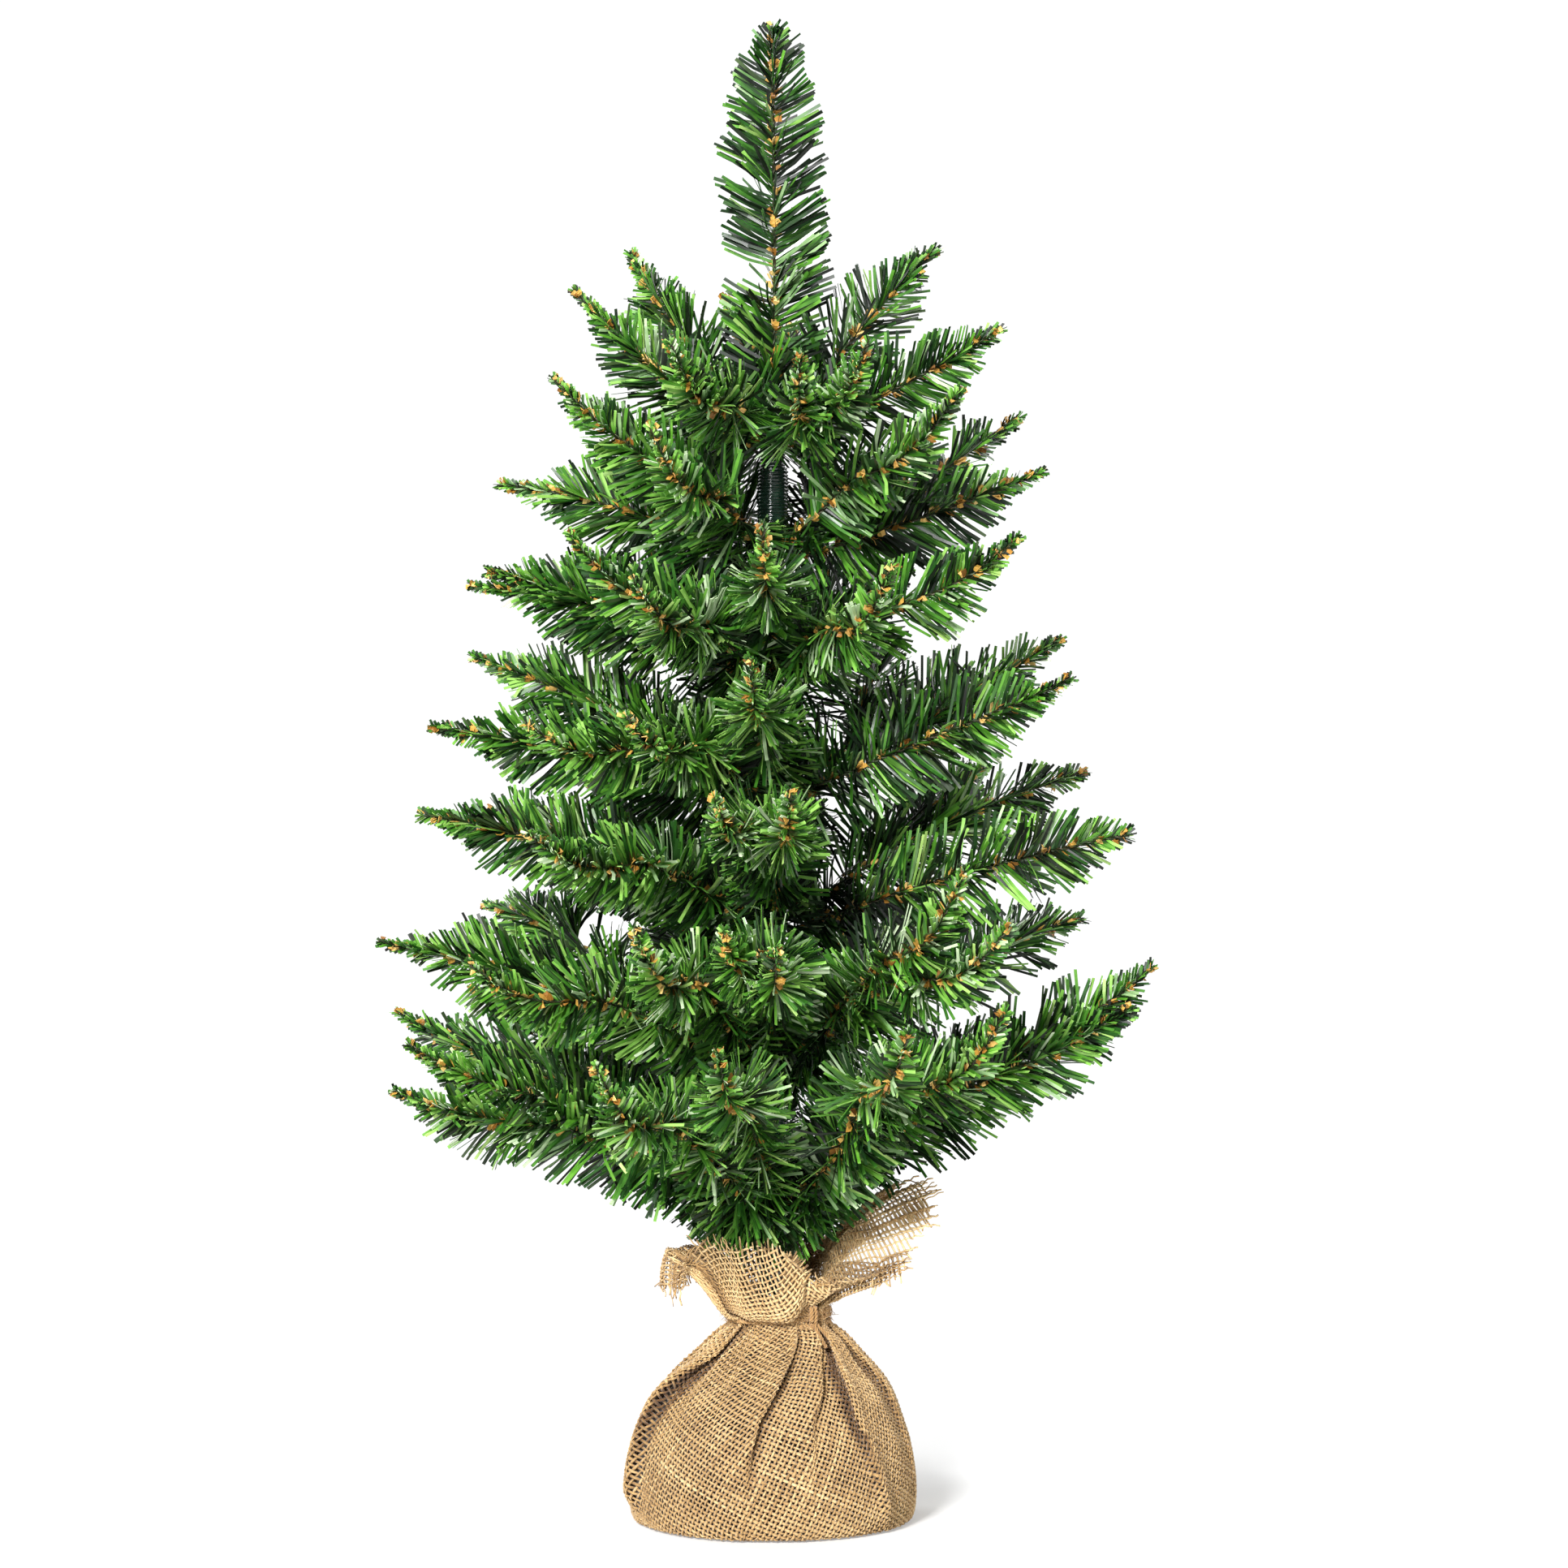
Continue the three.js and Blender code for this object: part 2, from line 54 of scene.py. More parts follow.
# Tiers from the top down. Each row is a branch: root height, root azimuth in degrees, the main
# tip (x, y, z, arch), then side tips (x, y, z, arch, where on the main stem it leaves, 0 to 1).
TIERS = [
    [
        (428.7, 346.2, (90.9, -22.3, 474.1, 0.0)),
        (432.5, 22.5, (67.0, 26.1, 512.5, 0.038)),
        (425.5, 285.2, (36.4, -96.6, 461.3, 0.026), (10.4, -90.4, 458.2, 0.007, 0.29)),
        (430.0, 248.5, (-38.8, -90.2, 462.0, 0.024)),
        (426.7, 180.0, (-80.4, 0.0, 492.8, -0.02)),
        (431.7, 145.7, (-59.1, 40.3, 512.7, -0.02)),
        (428.7, 92.2, (8.5, 80.5, 487.5, 0.02), (-20.4, 59.3, 496.0, 0.0, 0.27)),
    ],
    [
        (383.1, 4.4, (108.9, -7.0, 419.1, -0.011), (101.2, 28.3, 443.9, 0.018, 0.27)),
        (388.2, 51.8, (80.9, 79.0, 429.0, 0.024), (22.2, 89.1, 430.3, 0.03, 0.33)),
        (387.5, 314.4, (72.6, -74.2, 445.7, 0.02)),
        (384.9, 243.7, (-46.2, -98.6, 428.9, 0.028)),
        (386.2, 206.4, (-85.9, -47.0, 452.4, 0.021)),
        (381.9, 173.1, (-111.7, 14.7, 415.1, 0.049)),
        (385.5, 124.2, (-42.1, 86.3, 443.2, 0.03), (-71.0, 57.5, 426.2, 0.03, 0.27)),
    ],
    [
        (336.2, 328.5, (96.2, -59.2, 390.0, 0.022)),
        (340.2, 292.9, (45.4, -105.7, 377.4, -0.007)),
        (337.0, 266.8, (-3.3, -117.7, 391.0, 0.062)),
        (337.9, 231.3, (-51.8, -114.3, 370.9, 0.02), (-77.5, -86.6, 389.9, 0.023, 0.3)),
        (332.8, 181.1, (-121.8, 1.1, 373.5, 0.074), (-115.2, -0.3, 378.9, 0.044, 0.32)),
        (337.6, 131.7, (-53.3, 90.4, 394.7, 0.039), (-86.9, 50.5, 384.1, 0.049, 0.32)),
        (340.2, 64.8, (57.4, 88.1, 387.1, 0.033), (22.2, 91.3, 389.3, 0.059, 0.36)),
    ],
    [
        (288.8, 346.5, (116.8, -51.4, 335.3, -0.002), (116.9, 15.6, 352.5, 0.021, 0.3)),
        (291.7, 259.2, (-7.8, -127.3, 341.4, 0.05)),
        (284.1, 239.1, (-54.8, -113.8, 320.1, 0.067), (-93.7, -97.7, 317.3, 0.046, 0.3)),
        (283.3, 181.7, (-137.3, -0.5, 317.1, 0.03)),
        (286.6, 157.7, (-123.8, 36.2, 346.5, 0.035), (-95.3, 64.5, 335.4, 0.02, 0.34)),
        (286.6, 99.9, (-33.2, 108.8, 361.7, 0.052), (6.5, 113.1, 342.7, 0.057, 0.24)),
        (285.6, 52.8, (99.3, 68.2, 336.8, 0.078), (47.7, 98.1, 353.3, 0.068, 0.35)),
    ],
    [
        (235.0, 352.8, (140.1, -40.6, 274.3, 0.021)),
        (239.3, 29.6, (129.0, 37.8, 299.3, 0.043), (90.1, 91.9, 301.2, 0.02, 0.28)),
        (233.7, 268.3, (7.2, -134.8, 292.8, 0.079), (-21.2, -133.1, 289.8, 0.093, 0.23)),
        (234.6, 229.1, (-91.8, -103.1, 276.0, 0.053)),
        (239.6, 185.3, (-139.3, -25.6, 282.1, 0.034)),
        (232.9, 144.8, (-118.7, 66.9, 283.9, 0.032), (-78.3, 94.1, 294.6, 0.053, 0.32)),
        (236.1, 92.7, (-18.0, 128.2, 303.5, 0.074), (17.1, 127.7, 283.8, 0.02, 0.24)),
    ],
    [
        (181.4, 27.7, (129.8, 70.6, 238.4, 0.035)),
        (176.1, 298.9, (72.3, -115.8, 262.5, 0.004), (89.0, -114.9, 241.3, 0.037, 0.21)),
        (183.7, 278.7, (1.3, -153.3, 235.3, 0.07), (-18.0, -147.9, 241.0, 0.074, 0.36)),
        (178.2, 257.7, (-51.0, -134.7, 242.0, 0.03)),
        (175.3, 226.7, (-115.2, -97.5, 226.9, 0.04)),
        (175.3, 176.8, (-158.0, 2.0, 230.1, 0.046), (-121.3, 79.0, 243.2, 0.084, 0.32)),
        (182.4, 113.4, (-55.6, 127.4, 253.5, 0.033), (-18.8, 138.8, 235.7, 0.04, 0.37)),
        (176.3, 66.8, (68.0, 129.6, 241.1, 0.044), (36.4, 127.3, 238.5, 0.048, 0.29)),
    ],
    [
        (126.1, 336.6, (149.4, -39.5, 222.9, 0.002), (140.5, -42.9, 207.2, 0.017, 0.22)),
        (120.9, 301.4, (87.5, -115.7, 209.6, 0.02), (50.4, -139.8, 203.5, 0.04, 0.27)),
        (122.6, 263.1, (-19.4, -151.5, 196.8, 0.06)),
        (119.4, 249.3, (-65.0, -136.1, 190.7, 0.025)),
        (124.7, 207.4, (-141.3, -63.2, 194.2, 0.028), (-153.2, 19.7, 202.1, 0.04, 0.3),
         (-146.2, -67.6, 176.7, 0.016, 0.21)),
        (121.7, 142.0, (-116.1, 105.4, 179.8, 0.022), (-126.8, 72.5, 208.2, 0.061, 0.37)),
        (120.2, 103.3, (-21.3, 158.3, 183.0, 0.021), (-68.3, 125.1, 200.7, 0.024, 0.33)),
        (121.9, 52.8, (99.2, 122.5, 188.6, 0.039), (57.4, 146.0, 166.8, 0.044, 0.22),
         (122.2, 75.8, 191.3, 0.034, 0.16)),
    ],
]
ROOT_RADIUS = 6.0
LEADER_CURVE = ((0.0, 0.0, 441.2), (1.6, -1.0, 520.0), (-0.6, -1.0, 599.3))


# ------------------------------------------------------------------ arithmetic
def rng_for(name):
    return np.random.default_rng(zlib.crc32(name.encode()) + 11)


def unit(a):
    return a / np.maximum(np.linalg.norm(a, axis=-1, keepdims=True), 1e-12)


def smooth(x):
    """0 below 0, 1 above 1, an S curve between."""
    t = np.clip(x, 0.0, 1.0)
    return t * t * (3 - 2 * t)


def facing(azimuth, centre, low, span):
    """1 round the centre azimuth (degrees), fading to 0; low and span are in cosine."""
    return smooth((np.cos(azimuth - math.radians(centre)) - low) / span)


def polar(radius, azimuth, z, centre=0.0):
    """Points round a vertical axis that stands at x = centre."""
    x, y = centre + radius * np.cos(azimuth), radius * np.sin(azimuth)
    return np.stack(np.broadcast_arrays(x, y, z), -1)


def line_lengths(points):
    """Length along a line up to each of its points."""
    return np.r_[0, np.linalg.norm(np.diff(points, axis=0), axis=1).cumsum()]


def interp_rows(s, along, rows):
    return np.stack([np.interp(s, along, rows[:, k]) for k in range(3)], -1)


def first_normal(tangent, steep):
    return UP if abs(tangent[2]) < steep else np.array([1.0, 0, 0])


def carried_normals(normal, tangents):
    """Normals along a line, each turned as little as possible from the one before."""
    normals = []
    for tangent in tangents:
        normal = unit(normal - tangent * np.dot(normal, tangent))
        normals.append(normal)
    return np.array(normals)


# ------------------------------------------------------------------ meshes
def make_mesh(name, verts, quads, materials, index=None, smooth_faces=False, tone=None):
    """Makes a mesh object in metres from millimetre corners. tone is a value per corner."""
    mesh = bpy.data.meshes.new(name)
    verts = np.ascontiguousarray(np.asarray(verts, np.float64) * MM, np.float32)
    quads = np.ascontiguousarray(quads, np.int32)
    mesh.vertices.add(len(verts))
    mesh.vertices.foreach_set("co", verts.ravel())
    mesh.loops.add(quads.size)
    mesh.loops.foreach_set("vertex_index", quads.ravel())
    mesh.polygons.add(len(quads))
    mesh.polygons.foreach_set("loop_start", np.arange(0, quads.size, 4, dtype=np.int32))
    if index is not None:
        mesh.polygons.foreach_set("material_index", np.ascontiguousarray(index, np.int32))
    mesh.polygons.foreach_set("use_smooth", np.full(len(quads), smooth_faces))
    for material in materials:
        mesh.materials.append(material)
    mesh.update(calc_edges=True)
    if tone is not None:
        attribute = mesh.attributes.new("tone", "FLOAT", "POINT")
        attribute.data.foreach_set("value", np.ascontiguousarray(tone, np.float32))
    ob = bpy.data.objects.new(name, mesh)
    bpy.context.scene.collection.objects.link(ob)
    return ob


def attach(ob, body="base_and_trunk"):
    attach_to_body(ob, body)


def ring_quads(rings, sides):
    """Quads from each ring of corners to the next, and from the last ring to the first."""
    ring = np.arange(rings)[:, None] * sides
    following = (ring + sides) % (rings * sides)
    here = np.arange(sides)[None, :]
    after = (here + 1) % sides
    corners = [ring + here, ring + after, following + after, following + here]
    return np.stack(corners, -1).reshape(-1, 4)


def tube_quads(rings, sides):
    """Quads of a tube with four or six sides and both ends closed."""
    near = np.array([[3, 2, 1, 0], [5, 4, 3, 0]][:sides // 2 - 1])
    far = near[:, ::-1] + (rings - 1) * sides
    return np.concatenate([ring_quads(rings, sides)[:-sides], near, far])


class Batch:
    """Collects closed tubes and strips that end up in one mesh."""

    def __init__(self):
        self.verts, self.quads, self.index, self.tones, self.count = [], [], [], [], 0

    def add(self, verts, quads, material=0, tone=0.5):
        self.verts.append(verts)
        self.quads.append(quads + self.count)
        self.index.append(np.full(len(quads), material))
        self.tones.append(np.full(len(verts), tone))
        self.count += len(verts)

    def tube(self, points, side, normal, half_side, half_normal=None, tone=0.5, sides=4):
        """A closed tube; side and normal span its cross-section, tone is per point."""
        if half_normal is None:
            half_normal = half_side
        side, normal = (np.broadcast_to(a, points.shape) for a in (side, normal))
        angle = 2 * np.pi * np.arange(sides) / sides
        reach_side = (side * np.reshape(half_side, (-1, 1)))[:, None, :]
        reach_normal = (normal * np.reshape(half_normal, (-1, 1)))[:, None, :]
        ring = (np.cos(angle)[None, :, None] * reach_side
                + np.sin(angle)[None, :, None] * reach_normal)
        verts = (points[:, None, :] + ring).reshape(-1, 3)
        quads = tube_quads(len(points), sides)
        # rings that run clockwise about the direction of travel would face inwards
        if np.dot(np.cross(side[0], normal[0]), points[1] - points[0]) < 0:
            quads = quads[:, ::-1]
        self.add(verts, quads, tone=np.repeat(np.full(len(points), tone), sides))

    def strand(self, line, angle, offset, radius, tone=0.5):
        """A round strand winding about a line (points, tangents, normals, binormals)."""
        points, tangents, normals, binormals = line
        out = np.cos(angle)[:, None] * normals + np.sin(angle)[:, None] * binormals
        across = np.cross(tangents, out)
        self.tube(points + out * offset, out, across, radius, tone=tone, sides=6)

    def mesh(self, name, materials, smooth_faces=True, tones=True):
        return make_mesh(name, np.concatenate(self.verts), np.concatenate(self.quads), materials,
                         np.concatenate(self.index), smooth_faces,
                         np.concatenate(self.tones) if tones else None)


class Stem:
    """A quadratic curve with its own frame all along."""

    def __init__(self, start, control, end):
        start, control, end = (np.array(p, float) for p in (start, control, end))
        self.control = (start, control, end)
        t = np.linspace(0, 1, 161)[:, None]
        self.points = self.point(t)
        tangents = unit(2 * (1 - t) * (control - start) + 2 * t * (end - control))
        self.set_frame(tangents, first_normal(tangents[0], steep=0.9))

    def set_frame(self, tangents, normal):
        self.tangents = tangents
        self.along = line_lengths(self.points)
        self.length = self.along[-1]
        self.normals = carried_normals(normal, tangents)
        self.binormals = np.cross(tangents, self.normals)

    def curl(self, drop, reach):
        """Sinks the stretch before the tip, so that the tip itself points up more steeply."""
        before = np.clip((self.length - self.along) / reach, 0, 1)
        self.points[:, 2] -= drop * np.sin(np.pi * before) * (1 - 0.35 * before)
        self.set_frame(unit(np.gradient(self.points, axis=0)), self.normals[0])

    def point(self, t):
        start, control, end = self.control
        return (1 - t) ** 2 * start + 2 * t * (1 - t) * control + t * t * end

    def at(self, s):
        """Points, tangents, normals and binormals at lengths s, straight on past the tip."""
        points, tangents, normals, binormals = (
            interp_rows(s, self.along, rows)
            for rows in (self.points, self.tangents, self.normals, self.binormals))
        points = points + tangents * np.maximum(s - self.length, 0)[:, None]
        return points, unit(tangents), unit(normals), unit(binormals)


def arched(start, end, arch):
    """A stem whose middle rises above the straight line by arch times its length."""
    start, end = np.array(start, float), np.array(end, float)
    span = end - start
    up = np.array([-span[2] * span[0], -span[2] * span[1], span[0] ** 2 + span[1] ** 2])
    up /= np.linalg.norm(up)
    return Stem(start, (start + end) / 2 + up * 2 * arch * np.linalg.norm(span), end)


# ------------------------------------------------------------------ materials
def srgb(colour):
    """Linear RGBA of an 8-bit sRGB colour."""
    shares = (c / 255.0 for c in colour)
    return (*(c / 12.92 if c <= 0.04045 else ((c + 0.055) / 1.055) ** 2.4 for c in shares), 1.0)


class Shader:
    """A material made of nodes that feed its Principled BSDF."""

    def __init__(self, name):
        self.material = bpy.data.materials.new(name)
        self.material.use_nodes = True
        self.tree = self.material.node_tree
        self.surface = self.tree.nodes["Principled BSDF"]

    def node(self, kind):
        return self.tree.nodes.new("ShaderNode" + kind)

    def link(self, source, target):
        self.tree.links.new(source, target)

    def set(self, inputs):
        for name, value in inputs.items():
            self.surface.inputs[name].default_value = value

    def noise(self, scale, detail, rough=0.55):
        node = self.node("TexNoise")
        node.inputs["Scale"].default_value = scale
        node.inputs["Detail"].default_value = detail
        node.inputs["Roughness"].default_value = rough
        self.link(self.node("TexCoord").outputs["Object"], node.inputs["Vector"])
        return node.outputs["Fac"]

    def tone(self):
        node = self.node("Attribute")
        node.attribute_name = "tone"
        return node.outputs["Fac"]

    def values(self, factor, low, high):
        node = self.node("MapRange")
        node.inputs["To Min"].default_value = low
        node.inputs["To Max"].default_value = high
        self.link(factor, node.inputs["Value"])
        return node.outputs["Result"]

    def add(self, first, second):
        node = self.node("Math")
        node.operation = "ADD"
        self.link(first, node.inputs[0])
        self.link(second, node.inputs[1])
        return node.outputs[0]

    def colour(self, factor, stops):
        """Base colour from a ramp of (position, sRGB colour) stops."""
        node = self.node("ValToRGB")
        elements = node.color_ramp.elements
        while len(elements) < len(stops):
            elements.new(0.5)
        for element, (position, colour) in zip(elements, stops):
            element.position = position
            element.color = srgb(colour)
        self.link(factor, node.inputs["Fac"])
        self.link(node.outputs["Color"], self.surface.inputs["Base Color"])

    def roughness(self, factor, low, high):
        self.link(self.values(factor, low, high), self.surface.inputs["Roughness"])

    def bump(self, height, strength, distance):
        node = self.node("Bump")
        node.inputs["Strength"].default_value = strength
        node.inputs["Distance"].default_value = distance
        self.link(height, node.inputs["Height"])
        self.link(node.outputs["Normal"], self.surface.inputs["Normal"])


def three_stops(dark, mid, light):
    return [(0.05, dark), (0.5, mid), (0.95, light)]


def film(name, dark, mid, light, rough, specular):
    """Cut PVC film: every strip has its own tone, with patches in it and an uneven gloss."""
    shader = Shader("film_" + name)
    patch = shader.noise(scale=130.0, detail=2.0)
    mix = shader.node("Math")
    mix.operation = "MULTIPLY_ADD"
    mix.inputs[1].default_value = 0.75
    shader.link(shader.tone(), mix.inputs[0])
    shader.link(shader.values(patch, low=-0.28, high=0.52), mix.inputs[2])
    shader.colour(mix.outputs[0], three_stops(dark, mid, light))
    shader.roughness(patch, rough - 0.10, rough + 0.12)
    shader.set({"Specular IOR Level": specular})
    return shader.material


def jute(name, dark, mid, light):
    """Jute yarn: tone from yarn to yarn, with fibre flecks along it."""
    shader = Shader(name)
    own = shader.tone()
    patch = shader.noise(scale=55.0, detail=3.0)
    fleck = shader.noise(scale=1500.0, detail=4.0, rough=0.7)
    flecked = shader.add(shader.values(fleck, low=-0.24, high=0.24), own)
    factor = shader.add(flecked, shader.values(patch, low=-0.2, high=0.2))
    shader.colour(factor, three_stops(dark, mid, light))
    shader.roughness(fleck, low=0.78, high=0.98)
    shader.bump(fleck, strength=0.5, distance=0.0003)
    shader.set({"Specular IOR Level": 0.25, "Sheen Weight": 0.25, "Sheen Roughness": 0.6})
    return shader.material


def mottled(name, scale, detail, colours, rough, grain=None, inputs=()):
    """One noise picks the colour and the roughness. grain is a finer noise (scale, detail,
    strength, distance) for the bump; where it roughens, it picks the roughness instead."""
    shader = Shader(name)
    patch = shader.noise(scale, detail)
    shader.colour(patch, colours)
    if grain:
        fine = shader.noise(grain["scale"], grain["detail"])
        shader.bump(fine, grain["strength"], grain["distance"])
    shader.roughness(fine if grain and grain.get("roughens") else patch, *rough)
    shader.set(dict(inputs))
    return shader.material


# name, dark, middle and light colour, roughness, specular level
FILM = [film(*row) for row in (
    ("bright", (34, 78, 16), (88, 150, 42), (152, 202, 98), 0.38, 0.5),
    ("mid", (14, 44, 9), (56, 112, 28), (110, 166, 62), 0.38, 0.5),
    ("deep", (5, 20, 4), (32, 80, 20), (74, 130, 44), 0.38, 0.42),
    ("dark", (4, 14, 4), (15, 42, 13), (40, 80, 30), 0.38, 0.36),
    ("charcoal", (4, 9, 3), (19, 33, 13), (60, 80, 44), 0.36, 0.36),
    ("lime", (58, 98, 30), (112, 156, 66), (166, 200, 112), 0.38, 0.5),
    # mint: painted sheen, pale strips that stand for the gloss of the film
    ("mint_painted_sheen", (92, 128, 76), (150, 182, 128), (208, 226, 188), 0.3, 0.6),
    ("tan", (176, 128, 46), (210, 164, 78), (236, 202, 130), 0.5, 0.5),
    ("brown", (104, 66, 20), (148, 100, 34), (182, 132, 56), 0.5, 0.5),
)]
TAN, BROWN = 7, 8
BURLAP = jute("jute_yarn", (98, 64, 24), (176, 140, 88), (238, 210, 156))
# dark jute for the inner ply: painted shade
SHADE_PLY = jute("jute_inner_ply_painted_shade", (22, 14, 6), (54, 36, 16), (86, 60, 30))
CORD = jute("jute_cord_fibre", (112, 76, 36), (172, 132, 80), (212, 178, 122))
WIRE = mottled(
    "wire_green_lacquer", scale=300.0, detail=4.0, rough=(0.3, 0.55), inputs={"Metallic": 0.4},
    colours=[(0.35, (52, 44, 24)), (0.6, (40, 56, 30)), (0.85, (92, 84, 52))])
WINDING = mottled(
    "winding_film", scale=160.0, detail=4.0, rough=(0.10, 0.26),
    colours=[(0.3, (6, 20, 14)), (0.6, (13, 36, 25)), (0.85, (32, 66, 47))],
    grain=dict(scale=700.0, detail=3.0, strength=0.35, distance=0.0004),
    inputs={"Specular IOR Level": 0.85, "Coat Weight": 0.5, "Coat Roughness": 0.10})
PLASTIC = mottled(
    "cup_black_plastic", scale=90.0, detail=5.0, rough=(0.38, 0.6),
    colours=[(0.3, (20, 20, 19)), (0.7, (38, 37, 35))],
    grain=dict(scale=500.0, detail=3.0, strength=0.25, distance=0.0004))
CEMENT = mottled(
    "cast_cement", scale=60.0, detail=6.0, rough=(0.8, 0.98),
    colours=[(0.3, (122, 120, 115)), (0.6, (156, 153, 147)), (0.85, (180, 177, 170))],
    grain=dict(scale=420.0, detail=4.0, strength=0.8, distance=0.001, roughens=True))
STEEL = mottled(
    "drawn_steel_rod", scale=220.0, detail=4.0, rough=(0.28, 0.46), inputs={"Metallic": 0.95},
    colours=[(0.3, (120, 122, 124)), (0.7, (168, 170, 172))])

# CAD pieces that keep their shape
for node, material, slot in (
    ("base_pot", PLASTIC, "black_plastic"),
    ("cement_weight", CEMENT, "cement"),
    ("trunk_pole", STEEL, "steel"),
):
    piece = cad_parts[node]
    piece.data.materials.clear()
    piece.data.materials.append(material)


# ------------------------------------------------------------------ needles
# tapers: distance from the tip, and the share of the full needle length there
SHARP = ([0, 10, 18, 27, 38, 50, 64, 80], [0.09, 0.11, 0.17, 0.34, 0.60, 0.84, 0.98, 1.0])
BLUNT = ([0, 6, 14, 24, 36, 50, 64, 80], [0.12, 0.20, 0.36, 0.58, 0.80, 0.95, 1.0, 1.0])
CROWN = ([0, 4, 8, 14, 22, 34, 48, 70, 400], [0.10, 0.16, 0.27, 0.43, 0.60, 0.80, 0.92, 1.0, 1.0])
# shares of the seven green films, in the order of FILM, and what is added to them: painted sheen (more
# bright and mint strips) where a branch points to the front, painted shade (more charcoal strips) where
# it points away, and painted shade (darker shares) on the leader
SHARES = np.array([0.24, 0.20, 0.18, 0.14, 0.15, 0.05, 0.04])
SHARES_FRONT_SHEEN = np.array([0.05, 0, 0, 0, 0, 0, 0.24])
SHARES_AWAY_SHADE = np.array([0, 0, 0, 0, 0.04, 0, 0])
SHARES_LEADER_SHADE = np.array([-0.10, 0, 0.06, 0.12, -0.05, 0, 0])
NEEDLE = 25.5          # film strip from the wire to its cut end
WIDTH = 1.32           # film strip across
THICK = 0.16
STRIP_STEP = 1.62      # from one strip to the next along the wire

# How strips stand on a wire: lean in degrees at the tip and added at the root, random spreads
# in radians, strip width, and tone (mean, spread, painted shade towards the root).
BRANCH = SimpleNamespace(
    tip_lean=36, root_lean=26, lean_spread=0.10, tuft_roll=0.44, strip_roll=0.2,
    width=WIDTH, tone=0.50, tone_spread=0.43, root_shade=0.48, shares=0 * SHARES_LEADER_SHADE)
# painted shade: the leader's strips are darker, with a low tone and darker film shares
LEADER = SimpleNamespace(
    tip_lean=46, root_lean=0, lean_spread=0.07, tuft_roll=0.30, strip_roll=0.16,
    width=WIDTH * 1.12, tone=0.03, tone_spread=0.38, root_shade=0.0, shares=SHARES_LEADER_SHADE)


def add_strips(batch, stem, strips, lift, films, tones):
    """Adds flat cut strips in two halves with a bend between, closed at both ends.
    Rows of strips: place along the stem, azimuth about it, lean from it, length, bend,
    swerve, width, roll. lift is the gap between the stem's axis and the strip's root."""
    along, *shape = strips
    around, lean, length, bend, swerve, width, roll = (a[:, None] for a in shape)
    root, tangent, normal, binormal = stem.at(along)
    outward = np.cos(around) * normal + np.sin(around) * binormal
    across = np.cross(tangent, outward)

    def heading(lean, swerve):
        return unit(np.cos(lean) * tangent + np.sin(lean) * outward + swerve * across)

    first, second = heading(lean, 0), heading(lean - bend, swerve)
    start = root + outward * lift
    middle = start + first * (length * 0.5)
    end = middle + second * (length * 0.5)
    corners = []
    for centre, ahead, turn, share in (
        (start, first, roll, 0.72),
        (middle, unit(first + second), roll * 1.15, 1.0),
        (end, second, roll * 1.3, 0.97),
    ):
        flat = unit(np.cross(across, ahead))
        flat = np.cos(turn) * flat + np.sin(turn) * across
        flat = unit(flat - ahead * np.sum(flat * ahead, 1, keepdims=True))
        thick = np.cross(ahead, flat) * (THICK / 2)
        flat = flat * (width * share / 2)
        corners += [centre + flat + thick, centre - flat + thick,
                    centre - flat - thick, centre + flat - thick]
    verts = np.stack(corners, 1).reshape(-1, 3)
    quads = tube_quads(3, 4)[None] + 12 * np.arange(len(along))[:, None, None]
    batch.add(verts, quads.reshape(-1, 4), np.repeat(films, 10), tones)


def corner_tones(tone):
    """Tone of every corner of the strips: darker at the wire and lighter at the cut end, as painted shade
    and painted light.
    """
    return np.clip(tone[:, None] + np.repeat([-0.60, 0.0, 0.18], 4)[None, :], 0, 1).ravel()


def pick_film(rng, shares):
    return int(rng.choice(7, p=shares / shares.sum()))


def clear_of_trunk(stem, strips):
    """Marks the strips that leave the trunk in sight between the two upper tiers."""
    along, around, lean, length = strips[:4]
    root, tangent, normal, binormal = stem.at(along)
    outward = np.cos(around)[:, None] * normal + np.sin(around)[:, None] * binormal
    ahead = unit(np.cos(lean)[:, None] * tangent + np.sin(lean)[:, None] * outward)
    end = root + 0.75 * length[:, None] * ahead
    keep = np.ones(len(along), bool)
    for x, y, z in (end.T, ((end + root) / 2).T):
        keep &= ~((z > 397) & (z < 422) & (np.abs(x) < 13) & (y < 20))
    return keep


